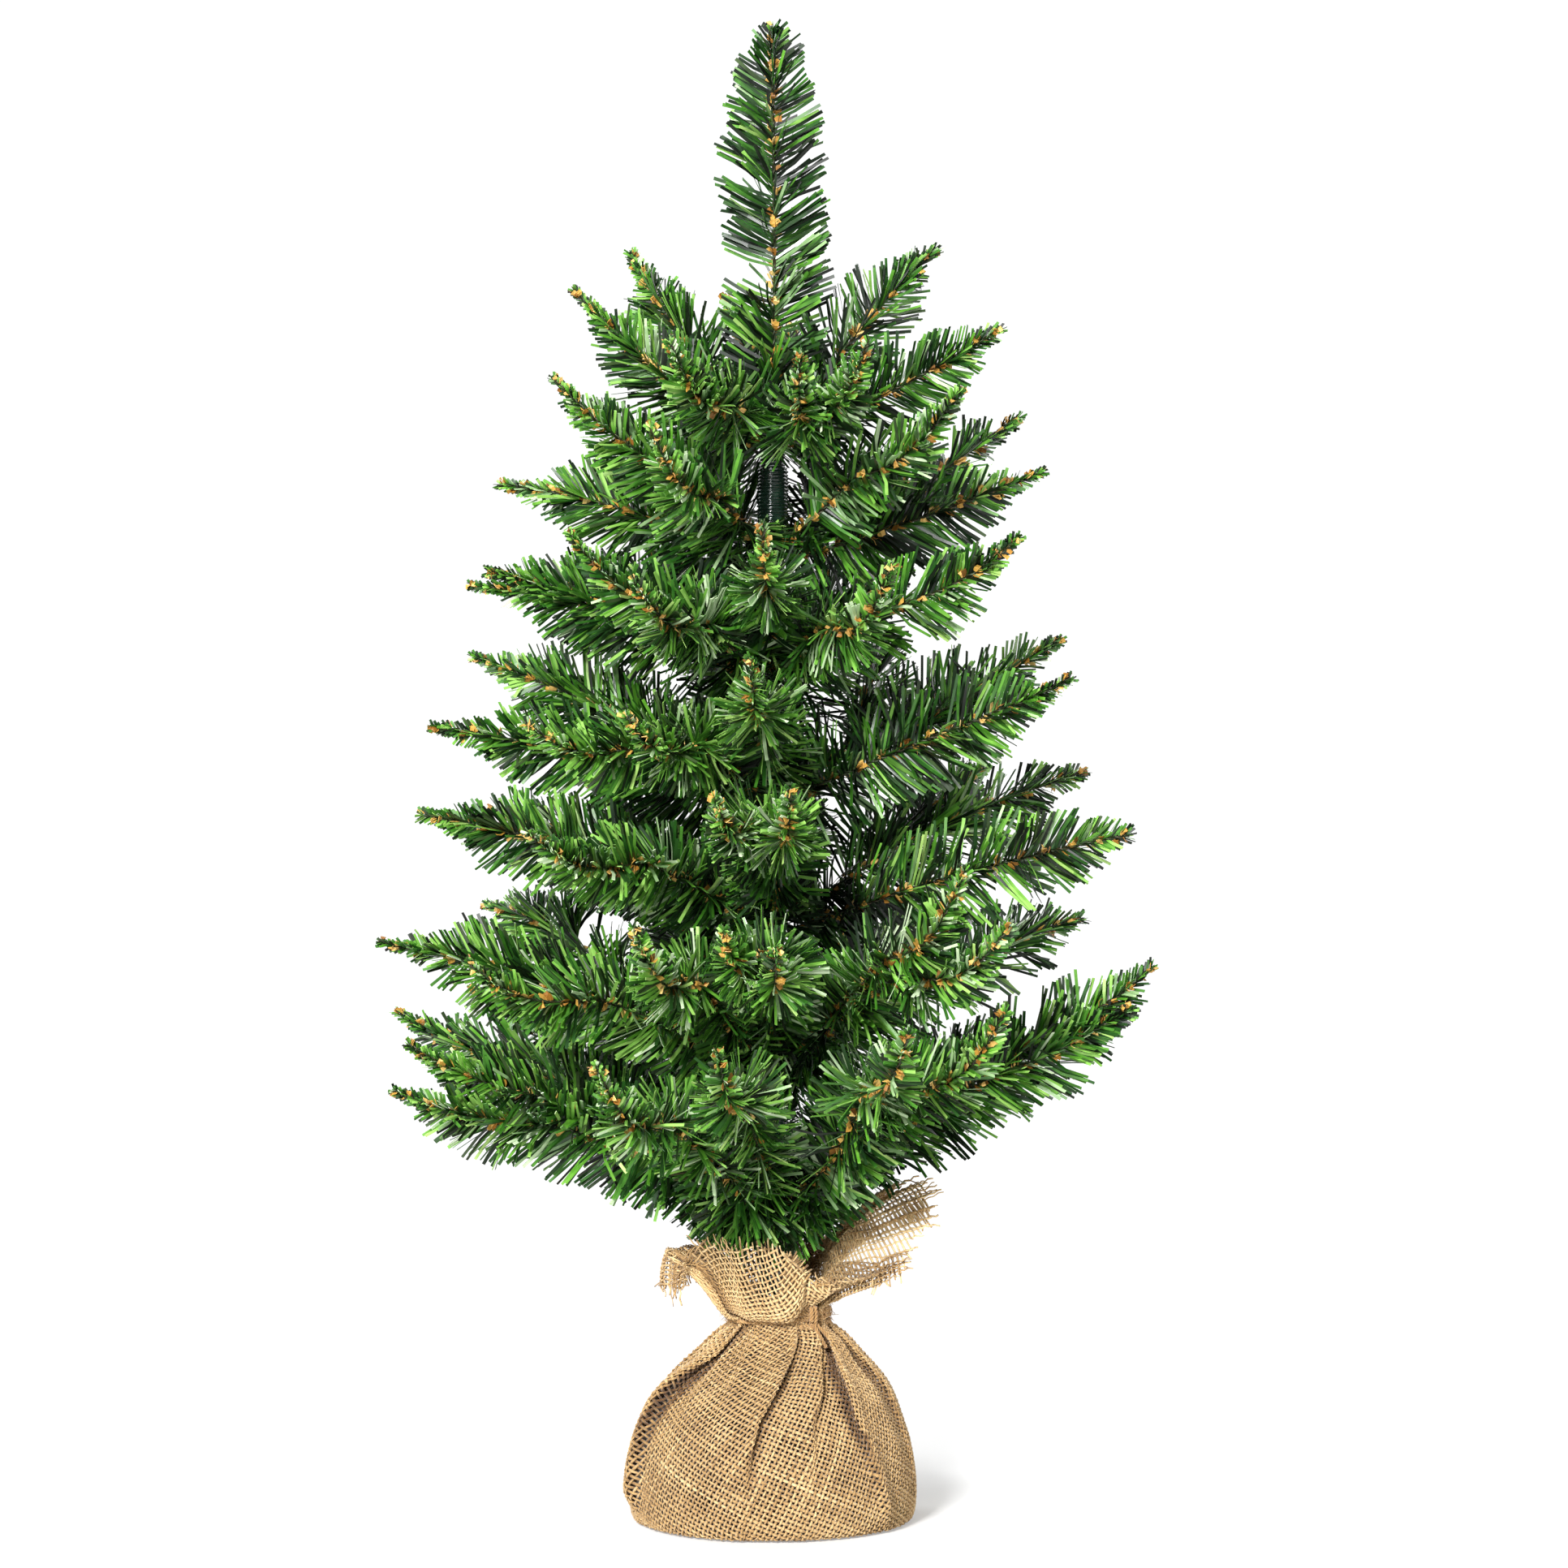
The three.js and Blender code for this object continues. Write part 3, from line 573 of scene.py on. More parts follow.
def green_strips(batch, stem, rng, start, taper, habit, longest, lean, layers,
                 front=0.0, right=0.0, rear=0.0):
    """Tufts of green strips. front, right and rear say how far the branch points that way."""
    reach = stem.length
    phase = rng.uniform(0, 6.28)
    shares = SHARES + front * SHARES_FRONT_SHEEN + (1 - front) * SHARES_AWAY_SHADE + habit.shares
    leans = [habit.tip_lean, habit.tip_lean + 8, lean, max(lean, 60), max(lean, 60) + 2]
    rows = []
    for layer in range(layers):
        s = start + rng.uniform(0, 1.6)
        while s < reach - 0.4:
            # one tuft of neighbouring strips that stand much alike
            count = int(rng.integers(2, 7))
            to_tip = reach - s
            around = (phase + 2 * math.pi * s / 20 + (layer % 2) * math.pi
                      + rng.normal(0, 0.85))
            tilt = math.radians(np.interp(to_tip, [0, 15, 50, 76, 200], leans)
                                + habit.root_lean * (1 - smooth(s / 42)))
            tilt += rng.normal(0, habit.lean_spread)
            bend = rng.normal(0.05, 0.08)
            swerve = rng.normal(0, 0.07)
            roll = rng.normal(0, habit.tuft_roll)
            length = longest * np.interp(to_tip, *taper) * rng.uniform(0.86, 1.04)
            colour = pick_film(rng, shares)
            if rng.random() < 0.035:       # a stray strip
                tilt += rng.uniform(0.3, 0.8)
                bend += rng.uniform(-0.8, 0.9)
                count = 1
            for _ in range(count):
                if s >= reach - 0.4:
                    break
                rows.append((
                    s, around + rng.normal(0, 0.17), tilt + rng.normal(0, 0.055),
                    max(length * rng.uniform(0.95, 1.03), 1.9),
                    bend + rng.normal(0, 0.04), swerve + rng.normal(0, 0.03),
                    habit.width * rng.uniform(0.78, 1.05) * np.interp(to_tip, [0, 40], [0.85, 1.0]),
                    roll + rng.normal(0, habit.strip_roll),
                    colour if rng.random() > 0.5 else pick_film(rng, SHARES)))
                s += STRIP_STEP
    strips = np.array(rows).T
    along, _, tilt, length = strips[:4]
    # near the tip the roots move back, so that the cut ends stay about level with the tip
    back = rng.uniform(0.85, 1.9, len(along)) if habit is LEADER else 0.55
    strips[0] = np.minimum(along, reach - back * length * np.cos(tilt) * (along > reach - 12))
    if stem.points[0][2] > 370:
        strips = strips[:, clear_of_trunk(stem, strips)]
    along = strips[0]
    # painted light and shade: branches that point to the front are lighter, those that point right or to
    # the rear darker
    mean = habit.tone + 0.16 * front - 0.20 * right - 0.12 * rear
    tone = rng.normal(mean, habit.tone_spread, len(along))
    # painted shade: strips near the trunk are darker, on branches longer than 60
    tone -= habit.root_shade * (1 - smooth((along - 6) / 66)) * (reach > 60)
    add_strips(batch, stem, strips[:-1], 0.5, strips[-1], corner_tones(tone))


def hanging_strips(batch, stem, rng, droop):
    """Loose strips that hang under a low branch's root."""
    count = int(46 * droop)
    along = rng.uniform(0.5, 30, count)
    _, _, normals, binormals = stem.at(along)
    down = np.arctan2(-binormals[:, 2], -normals[:, 2])
    length = rng.uniform(15, 24, count)
    strips = [
        along,
        down + rng.normal(0, 0.75, count),
        np.radians(rng.normal(98, 16, count)),
        length,
        rng.normal(0.15, 0.25, count),
        rng.normal(0, 0.2, count),
        WIDTH * rng.uniform(0.8, 1.05, count),
        rng.normal(0, 0.6, count),
    ]
    films = rng.choice([0, 1, 1, 2, 2, 3, 4], count)
    add_strips(batch, stem, strips, 0.5, films, corner_tones(rng.normal(0.42, 0.22, count)))


def brown_chips(batch, stem, rng, start):
    """Little folded chips of brown film in clusters, on alternate sides of the wire."""
    rows = []
    s = stem.length - 1.0
    turn = rng.uniform(0, 6.28)
    while s > max(start, 4.0):
        to_tip = stem.length - s
        fewest = 4 if to_tip < 45 else 3
        for _ in range(int(rng.integers(fewest, fewest + 3))):
            rows.append((
                s - rng.uniform(0, 3.6), turn + rng.normal(0, 0.7), rng.uniform(0.5, 1.25),
                rng.uniform(2.4, 4.0) * (0.75 if to_tip < 12 else 1.05),
                rng.normal(0.2, 0.5), 0.0, rng.uniform(1.7, 2.6), rng.normal(1.2, 0.6),
                TAN if rng.random() < 0.62 else BROWN))
        turn += math.pi + rng.normal(0, 0.5)
        s -= rng.uniform(4.4, 6.0)
    strips = np.array(rows).T
    strips[0] = np.maximum(strips[0], 2.0)
    tone = np.clip(rng.normal(0.5, 0.25, len(rows)), 0, 1)
    add_strips(batch, stem, strips[:-1], 0.8, strips[-1], np.repeat(tone, 12))


def twisted_pair(batch, stem, phase):
    s = np.arange(0.0, stem.length - 0.8, 1.9)
    line = stem.at(s)
    for offset in (0.0, math.pi):
        batch.strand(line, phase + offset + 2 * math.pi * s / 7.6, offset=0.5, radius=0.52)


def build_branch(name, main, sides, blunt=0.0, droop=0.0, habit=BRANCH, **look):
    rng = rng_for(name)
    green, wires = Batch(), Batch()
    for i, stem in enumerate([main] + sides):
        if habit is LEADER:
            taper, start = CROWN, 2.5
        else:
            b = float(np.clip(blunt + rng.normal(0, 0.12), 0, 1))
            taper = SHARP[0], np.array(SHARP[1]) * (1 - b) + np.interp(SHARP[0], *BLUNT) * b
            start = 1.0 if i else 1.5
        green_strips(green, stem, rng, start, taper, habit, **look)
        if droop and i == 0:
            hanging_strips(green, stem, rng, droop)
        brown_chips(green, stem, rng, start)
        twisted_pair(wires, stem, rng.uniform(0, 6.28))
    needles = green.mesh("needles_" + name, FILM, smooth_faces=False)
    wire = wires.mesh("wires_" + name, [WIRE], tones=False)
    attach(needles, "body_" + name)
    attach(wire, "body_" + name)
    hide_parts(name)


def build_tiers():
    for tier, rows in enumerate(TIERS, 1):
        for number, (root_z, azimuth, tip, *side_tips) in enumerate(rows, 1):
            a = math.radians(azimuth)
            sine, cosine = math.sin(a), math.cos(a)
            root = np.array([ROOT_RADIUS * cosine, ROOT_RADIUS * sine, root_z])
            main = arched(root, tip[:3], tip[3])
            sides = [arched(main.point(leave), end, arch) for *end, arch, leave in side_tips]
            front = float(np.clip(-sine * 1.3 - 0.25, 0, 1))
            right = float(np.clip(cosine, 0, 1))
            for stem in [main] + sides:
                stem.curl(drop=15.0 * front, reach=66.0)
            build_branch(
                f"tier{tier}_branch{number}", main, sides,
                blunt=0.12 + (0.18 if tier in (2, 3, 4) else 0.45) * right + 0.15 * front,
                droop={7: 1.0, 6: 0.35}.get(tier, 0.0),
                longest=NEEDLE * (1 - 0.13 * front), lean=57.0 - 19.0 * front,
                layers=7 - int(cosine > 0.3) + int(cosine < -0.3),
                front=front, right=right, rear=float(np.clip(sine, 0, 1)))


build_tiers()
build_branch("leader", Stem(*LEADER_CURVE), [], habit=LEADER, longest=25.0, lean=66.0, layers=6)


# ------------------------------------------------------------------ wound trunk
def winding():
    """Ridged film winding, slimmer where branches leave the trunk."""
    rng = rng_for("winding")
    lo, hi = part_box("trunk_wrap")
    pitch, sides, bore = 1.45, 22, 3.85
    heights = np.arange(lo.z / MM, hi.z / MM + 0.01, pitch / 4)
    around = 2 * np.pi * np.arange(sides) / sides
    roots = np.array([row[0] for tier in TIERS for row in tier])
    to_root = np.abs(heights[:, None] - roots).min(axis=1)
    slim = 1 - smooth((to_root - 3.5) / 3.0)
    mean = (6.15 - 1.35 * slim + 0.12 * np.sin(heights * 0.9)
            + 0.1 * np.sin(heights * 0.37 + 1))
    ridge = (0.36 * np.cos(2 * np.pi * heights[:, None] / pitch - around)
             + 0.06 * rng.normal(0, 1, (len(heights), sides)))
    outer = polar(mean[:, None] + ridge, around, heights[:, None])
    inner = polar(bore, around, heights[[-1, 0]][:, None])
    verts = np.concatenate([outer, inner]).reshape(-1, 3)
    ob = make_mesh("trunk_winding", verts, ring_quads(len(heights) + 2, sides), [WINDING],
                   smooth_faces=True)
    attach(ob)
    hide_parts("trunk_wrap")


winding()


# ------------------------------------------------------------------ burlap: yarns over a pleated sheet
WARPS = 194                      # collar yarns round the bag
PITCH = 1.85                     # between yarns where the cloth lies flat
COLUMNS = WARPS * 2              # samples round the sheet, one each half pitch
SHIFT = 2.4                      # the tied neck sits a little to the right of the trunk
# bag outline from the foot to the end of the neck: radius, height
WALL = [
    (54.6, 0.75), (55.9, 2.2), (56.6, 5.0), (56.9, 9.6), (56.6, 17.4), (55.3, 25.3),
    (53.4, 33.1), (50.0, 40.9), (45.8, 48.7), (43.0, 52.6), (39.2, 56.5), (35.0, 60.4),
    (30.9, 64.3), (27.2, 68.2), (23.2, 72.1), (18.6, 76.4), (17.4, 79.5), (17.2, 84.0),
    (17.6, 86.6),
]
# rim of the open collar: azimuth, radius, height, how far from the rim the cross yarns stop
RIM = [
    (0, 64, 136, 6), (12, 63, 137, 5), (24, 55, 131, 4), (40, 49, 120, 4), (58, 43, 113, 4),
    (76, 38, 110, 4), (94, 36, 112, 5), (112, 38, 116, 4), (130, 36, 115, 4),
    (148, 37, 113, 3), (164, 40, 108, 4), (178, 44, 108, 4), (192, 45.5, 111, 3),
    (207, 43, 114, 3), (222, 37, 116, 4), (240, 33, 117.5, 4), (256, 29.5, 117.5, 4),
    (270, 27, 115, 4), (284, 24.5, 108, 3), (297, 24, 101, 3), (309, 35, 99, 3),
    (321, 49, 101.5, 4), (333, 59, 106.5, 5), (346, 65, 120, 6),
]
# folds: azimuth at each of FOLD_HEIGHTS and at the rim, which side lies on top (+1: the lower
# azimuth), share of the spare cloth, how far the edge is raised
FOLDS = [
    ((259, 261, 265, 277, 293, 303), +1, 0.19, 1.3),
    ((286, 287, 290, 301, 314, 311), +1, 0.06, 0.4),
    ((321, 315, 307, 308, 322, 322), -1, 0.13, 3.0),
    ((349, 347, 345, 346, 350, 352), -1, 0.07, 0.8),
    ((384, 386, 387, 388, 390, 388), +1, 0.10, 0.6),
    ((431, 433, 434, 434, 434, 431), +1, 0.12, 0.4),
    ((482, 481, 480, 480, 480, 480), -1, 0.12, 0.4),
    ((524, 523, 521, 520, 520, 523), +1, 0.11, 0.6),
    ((560, 562, 566, 573, 584, 566), +1, 0.10, 5.6),
]
FOLD_HEIGHTS = [5, 25, 45, 62, 76]


def puffed(azimuth):
    """The front left of the collar puffs out over the tie."""
    return facing(azimuth, 232, low=0.25, span=0.45)


def turned_down(azimuth):
    """The left edge of the collar is turned down."""
    return facing(azimuth, 178, low=0.86, span=0.10)


def wall_wave(azimuth, z):
    """Ripples of the bag: fine gathers that grow towards the tie, and five broad waves."""
    gather = 0.35 + 0.9 * smooth((z - 40) / 25) * (1 - 0.8 * smooth((z - 72) / 6))
    ripple = (0.5 * np.cos(17 * azimuth + 0.6 + z * 0.03)
              + 0.35 * np.cos(29 * azimuth + 2.0 - z * 0.02))
    broad = 0.35 * np.cos(5 * azimuth + z * 0.06) * smooth((z - 5) / 20)
    return gather * ripple * smooth((z - 12) / 30) + broad


def centre_x(z):
    """The bag leans over to its tied neck."""
    return SHIFT * smooth((z - 35) / 38)


class Sheet:
    """The pleated cloth as a grid of points. v is the length up the cloth from the foot."""

    def __init__(self):
        wall = np.array(WALL)
        along = line_lengths(wall)
        self.neck = along[-1]                          # v at the end of the neck
        self.fine = np.linspace(0, self.neck, 400)
        kernel = np.hanning(15)
        kernel /= kernel.sum()
        self.radius, self.height = (
            np.convolve(np.pad(np.interp(self.fine, along, column), 7, mode="edge"),
                        kernel, "valid")
            for column in wall.T)
        self.rim_azimuths, *self.rim = np.array(RIM + [(360, *RIM[0][1:])], float).T
        self.rows = int(round(self.neck / (PITCH / 2)))
        self.step = self.neck / self.rows
        self.v = np.arange(self.rows + int(74 / self.step) + 1) * self.step
        self.build()

    def rim_at(self, azimuth):
        """Radius, height and yarn stop of the rim."""
        d = np.degrees(azimuth) % 360
        known = self.rim_azimuths
        i = np.clip(np.searchsorted(known, d, side="right") - 1, 0, len(known) - 2)
        f = smooth((d - known[i]) / (known[i + 1] - known[i]))
        return [column[i] * (1 - f) + column[i + 1] * f for column in self.rim]

    def collar_length(self, azimuth):
        radius, z, _ = self.rim_at(azimuth)
        turned = turned_down(azimuth)
        slack = 1.04 + 0.16 * puffed(azimuth) * (1 - turned) + 0.5 * turned
        return np.hypot(radius - self.radius[-1], z - self.height[-1]) * slack

    def wall_at(self, v):
        return np.interp(v, self.fine, self.radius), np.interp(v, self.fine, self.height)

    def collar_at(self, azimuth, f):
        """Radius and height at the share f of the way from the neck to the rim."""
        f = np.maximum(f, 0)
        R, Z, _ = self.rim_at(azimuth)
        r0, z0 = self.radius[-1], self.height[-1]
        # the right flap stands up, then turns out
        flare = 1.0 + 0.55 * facing(azimuth, 26, low=0.4, span=0.5)
        r = r0 + (R - r0) * f ** (1.12 * flare)
        z = z0 + (Z - z0) * f ** (0.86 / flare)
        # the puffed part: a cubic curve, and straight on past the rim
        (r1, z1), (r2, z2) = (27.5, 75.0), (22.5, 98.0)
        t = np.clip(f, 0, 1)
        c0, c1, c2, c3 = (1 - t) ** 3, 3 * t * (1 - t) ** 2, 3 * t * t * (1 - t), t ** 3
        past = np.maximum(f - 1, 0)
        puff_r = c0 * r0 + c1 * r1 + c2 * r2 + c3 * R + past * 3 * (R - r2)
        puff_z = c0 * z0 + c1 * z1 + c2 * z2 + c3 * Z + past * 3 * (Z - z2)
        puff = puffed(azimuth)
        r, z = r + (puff_r - r) * puff, z + (puff_z - z) * puff
        # the part that is turned down rises for the first 0.62, then drops
        g = np.clip(f / 0.62, 0, 1)
        past = np.clip((f - 0.62) / 0.38, 0, 1.6)
        turn_r = (r0 + (R - r0) * g ** 0.8
                  + 2.5 * np.sin(np.pi * np.clip(past, 0, 1) * 0.75))
        drop = 19.0 + 7.0 * facing(azimuth, 206, low=0.93, span=0.06)
        turn_z = (z0 + (Z - z0) * (0.45 * np.sin(g * np.pi / 2) + 0.55 * g)
                  - drop * past ** 1.15)
        turned = turned_down(azimuth)
        return r + (turn_r - r) * turned, z + (turn_z - z) * turned

    def surface(self, azimuth, v):
        """Radius, height and outward direction (radial, upward) of the unfolded sheet."""
        if v <= self.neck:
            r, z = self.wall_at(v)
            (r1, z1), (r0, z0) = self.wall_at(v + 0.8), self.wall_at(v - 0.8)
            one = np.ones_like(azimuth)
        else:
            f = (v - self.neck) / self.collar_length(azimuth)
            r, z = self.collar_at(azimuth, f)
            r1, z1 = self.collar_at(azimuth, f + 0.02)
            r0, z0 = self.collar_at(azimuth, np.maximum(f - 0.02, 0.0))
            one = 1.0
        dr, dz = r1 - r0, z1 - z0
        size = np.hypot(dr, dz) + 1e-9
        return r * one, z * one, dz / size * one, -dr / size * one

    def fold_edges(self, v, z):
        share = smooth(np.clip((v - self.neck) / 40.0, 0, 1))
        edges = [np.interp(z, FOLD_HEIGHTS, azimuths[:5]) * (1 - share) + azimuths[5] * share
                 for azimuths, *_ in FOLDS]
        return np.array([math.radians(e) for e in edges])

    def fold_widths(self, v, R, edges):
        """Shares out the spare cloth; no fold is wider than the panel it lies on allows."""
        neck = self.neck
        fullness = float(np.interp(
            v, [0, neck * 0.55, neck * 0.92, neck, neck + 10, neck + 40],
            [1.0, 0.99, 0.80, 0.78, 0.86, 1.04]))
        spare = max(WARPS * PITCH * fullness - 2 * math.pi * R, 0.0) / 2
        before = np.diff(np.r_[edges[-1] - 2 * math.pi, edges]) * R
        after = np.roll(before, -1)
        return [min(spare * share, 0.86 * (before[k] if side > 0 else after[k]))
                for k, (_, side, share, _) in enumerate(FOLDS)]

    def fold_path(self, R, edges, widths):
        """Walks round the folded section. Returns knots (length, azimuth, layers out) and
        the length at which each fold's edge lies."""
        knots, edge_at = [], []
        walked = 0.0
        for k, (_, side1, _, _) in enumerate(FOLDS):
            edge0 = edges[k - 1] - (2 * math.pi if k == 0 else 0)
            width0, side0 = widths[k - 1], FOLDS[k - 1][1]
            edge1, width1 = edges[k], widths[k]
            start = edge0 - width0 / R if side0 > 0 else edge0
            end = edge1 if side1 > 0 else edge1 + width1 / R
            full0, full1 = min(1.0, width0 / 3.0), min(1.0, width1 / 3.0)
            layer0 = (0.0 if side0 > 0 else 2.0) * full0
            layer1 = (2.0 if side1 > 0 else 0.0) * full1
            span = (end - start) * R
            flat0, flat1 = min(width0, 0.45 * span), min(width1, 0.45 * span)
            knots += [
                (walked, start, layer0),
                (walked + flat0, start + flat0 / R, layer0),
                (walked + span - flat1, end - flat1 / R, layer1),
                (walked + span, end, layer1),
            ]
            edge_at.append(walked + span if side1 > 0 else walked + span + width1)
            walked += span
            if width1 > 0.05:
                knots.append((walked + 0.5 * width1, end - 0.5 * width1 / R, full1))
                walked += width1
        knots.append((walked, knots[0][1] + 2 * math.pi, knots[0][2]))
        return np.array(knots), edge_at

    def row(self, v):
        """Points, azimuths and crease shade round the section at v, every half warp pitch."""
        neck = self.neck
        if v <= neck:
            R, height = (float(x) for x in self.wall_at(v))
        else:
            height = 86.0
            probe = np.linspace(0, 2 * math.pi, 72, endpoint=False)
            R = float(np.mean(self.surface(probe, min(v, neck + 34))[0]))
        edges = self.fold_edges(v, height)
        widths = self.fold_widths(v, R, edges)
        knots, edge_at = self.fold_path(R, edges, widths)
        total = knots[-1, 0]
        u = np.arange(COLUMNS) / float(COLUMNS) * total
        azimuth = np.interp(u, knots[:, 0], knots[:, 1])
        layer = np.interp(u, knots[:, 0], knots[:, 2])
        lift = np.zeros_like(u)
        for at, (_, side, _, raised) in zip(edge_at, FOLDS):
            x = (u - at + total / 2) % total - total / 2
            if raised > 3:
                amount = smooth((height - 3) / 12) * (1 - smooth((height - 50) / 18))
                behind, ahead = 9.0, 2.2
            else:
                amount = smooth((height - 2) / 10) * (1 - 0.6 * smooth((height - 60) / 14))
                behind, ahead = 5.5, 1.2
            fall = np.where(x * side < 0, behind, ahead)
            lift += raised * amount * np.exp(-(x / fall) ** 2)
        if v <= neck:
            wave = wall_wave(azimuth, height)
        else:
            f = min((v - neck) / 40.0, 1.2)
            wave = 1.7 * f * np.cos(9 * azimuth + 0.4) + f * np.cos(16 * azimuth + 1.9)
        layer_depth = float(np.interp(
            v, [0, neck * 0.8, neck * 0.93, neck, neck + 12, neck + 40],
            [1.45, 1.45, 0.85, 0.85, 1.35, 1.5]))
        r, z, out_r, out_z = self.surface(azimuth, v)
        push = layer * layer_depth + lift + wave
        points = polar(r + out_r * push, azimuth, z + out_z * push, centre_x(height))
        # painted shade: the crease beside each fold's top edge, and the layers inside it, get darker
        # yarns
        shade = np.zeros_like(u)
        for edge, width, (_, side, _, raised) in zip(edges, widths, FOLDS):
            x = ((azimuth - edge + math.pi) % (2 * math.pi) - math.pi) * R * side
            deep = min(1.0, 0.45 + 0.2 * raised) * min(1.0, width / 2.5)
            dark = deep * np.exp(-(np.maximum(x, 0) / 1.7) ** 2)
            shade = np.maximum(shade, dark * (layer < 1.5) * (x > -width))
        return points, azimuth, shade

    def build(self):
        rows = [self.row(v) for v in self.v]
        grid, self.azimuths, self.shade = (np.stack(part, axis=1) for part in zip(*rows))
        # round the folds, then let rows agree with their neighbours
        for _ in range(2):
            grid = (np.roll(grid, 1, 0) + 2 * grid + np.roll(grid, -1, 0)) / 4
        for _ in range(3):
            grid[:, 1:-1] = (grid[:, :-2] + 2 * grid[:, 1:-1] + grid[:, 2:]) / 4
        grid[:, :, 2] = np.maximum(grid[:, :, 2], 0.75)
        self.points = grid
        self.round_step = np.roll(grid, -1, 0) - np.roll(grid, 1, 0)
        self.up_step = np.gradient(grid, axis=1)
        self.normals = unit(np.cross(self.round_step, self.up_step))

    def sample(self, u, v):
        """Points, normals and crease shade at flat lengths u round the cloth and v up it."""
        columns, rows = self.shade.shape
        x = np.mod(u / (WARPS * PITCH) * columns, columns)
        y = np.clip(v / self.step, 0, rows - 1.001)
        i, j = x.astype(int), y.astype(int)
        fx, fy = (x - i)[:, None], (y - j)[:, None]
        i1 = (i + 1) % columns
        i = i % columns
        points, normals, shade = (
            (a[i, j] * (1 - fx) + a[i1, j] * fx) * (1 - fy)
            + (a[i, j + 1] * (1 - fx) + a[i1, j + 1] * fx) * fy
            for a in (self.points, self.normals, self.shade[:, :, None]))
        return points, unit(normals), shade[:, 0]


def over_under(crossing, parity):
    """+1 where a yarn passes over another, -1 where under, 0 between crossings."""
    return np.where(crossing, np.where(parity % 2 == 0, 1.0, -1.0), 0.0)


def uneven(rng, places, knots, share):
    """A factor round 1 for a yarn's thickness, drawn at the knots."""
    return 1 + share * np.interp(places, knots, rng.normal(0, 1, len(knots)))


BIAS_ROUND, BIAS_UP = 180, 74     # yarns of the first and second set: the weave lies on the bias


def bias_weave(sheet, rng, first, second, top):
    """The bag's own cloth: two sets of yarns, both at a slant to the bag's axis."""
    ring = WARPS * PITCH
    phi = math.atan2(BIAS_UP, BIAS_ROUND)
    pitch = ring / math.hypot(BIAS_ROUND, BIAS_UP)
    c, s = math.cos(phi), math.sin(phi)

    def lay(batch, u, v, over, tone, across):
        points, normals, painted_crease_shade = sheet.sample(u, v)
        side = unit(np.cross(normals, unit(np.gradient(points, axis=0))))
        # how much room the cloth leaves: less where it is gathered
        reach_u, reach_v = (0.5 * pitch * a for a in across)
        gap = np.linalg.norm(sheet.sample(u + reach_u, v + reach_v)[0]
                             - sheet.sample(u - reach_u, v - reach_v)[0], axis=1)
        k = np.arange(len(u))
        wobble = uneven(rng, k, np.arange(0, len(u) + 9, 9), 0.15)
        half = np.clip(gap * 0.295, 0.22, 0.58) * wobble
        drift = rng.normal(0, 0.10) * np.sin(k * 0.11 + rng.uniform(0, 6))
        line = points + normals * (over * 0.40)[:, None] + side * drift[:, None]
        tones = tone + 0.07 * rng.normal(0, 1) * np.sin(k * 0.05)
        # painted light and shade: lighter where a yarn passes over, darker where it passes under, and
        # painted shade in the creases
        tones = tones + 0.11 * (over > 0.5) - 0.27 * (over < -0.5) - 0.46 * painted_crease_shade
        batch.tube(line, side, normals, half, 0.33 * wobble, tones)

    # first set: rises steeply; t is the length along the yarn, sampled every half pitch
    between = ring / BIAS_ROUND
    count = int(top / c / (pitch / 2))
    for i in range(BIAS_ROUND):
        u0 = i * between
        # t0 is where the yarn first meets a line of the other set
        first_line = math.ceil(u0 * math.tan(phi) * c / pitch)
        t0 = (first_line * pitch / c - u0 * math.tan(phi)) * c
        t = t0 + np.arange(0, 2 * count + 4) * pitch / 2
        if t0 > 0.25:
            t = np.r_[0.0, t]
        t = t[t * c <= top]
        step = np.round((t - t0) / (pitch / 2)).astype(int)
        over = over_under(step % 2 == 0, step // 2 + first_line + i)
        if t0 > 0.25:
            over[0] = 0.0
        lay(first, u0 + t * s, t * c, over, rng.normal(0.5, 0.03), across=(c, -s))
    # second set: falls gently, from the tie to the foot
    drop = pitch / c
    for m in range(BIAS_UP):
        line = m + math.floor(top / drop)
        v0 = line * drop
        start = max(0.0, (v0 - top) / s)
        j = np.arange(math.ceil(start / (pitch / 2)), int(v0 / s / (pitch / 2)) + 1)
        t = j * pitch / 2
        u, v = t * c, v0 - t * s
        inside = (v <= top) & (v >= 0)
        u, v = u[inside], v[inside]
        # which yarn of the first set lies here, found by its place at the foot
        foot = (u - v * math.tan(phi)) / between
        index = np.round(foot).astype(int)
        over = over_under(np.abs(foot - index) < 0.25, line + index + 1)
        lay(second, u, v, over, rng.normal(0.5, 0.03), across=(s, c))


def first_false(mask):
    return len(mask) if mask.all() else int(np.argmin(mask))


def collar_yarn(points, normals, side, gap, above, over, wobble, drift):
    """Centre line, half width and half thickness of a collar yarn."""
    slim = smooth((above - 6) / 22)
    half = np.clip(np.minimum(0.60 - 0.17 * slim, gap * 0.34), 0.20, 0.60) * wobble
    line = points + normals * (over * 0.37)[:, None] + side * drift[:, None]
    return line, half, 0.32 * wobble


# painted light and shade: lighter where a yarn passes over, darker where it passes under, darker in the
# creases, and lighter by lift on the right
def collar_tone(over, painted_crease_shade, lift):
    return 0.11 * (over > 0.5) - 0.23 * (over < -0.5) - 0.24 * painted_crease_shade + lift


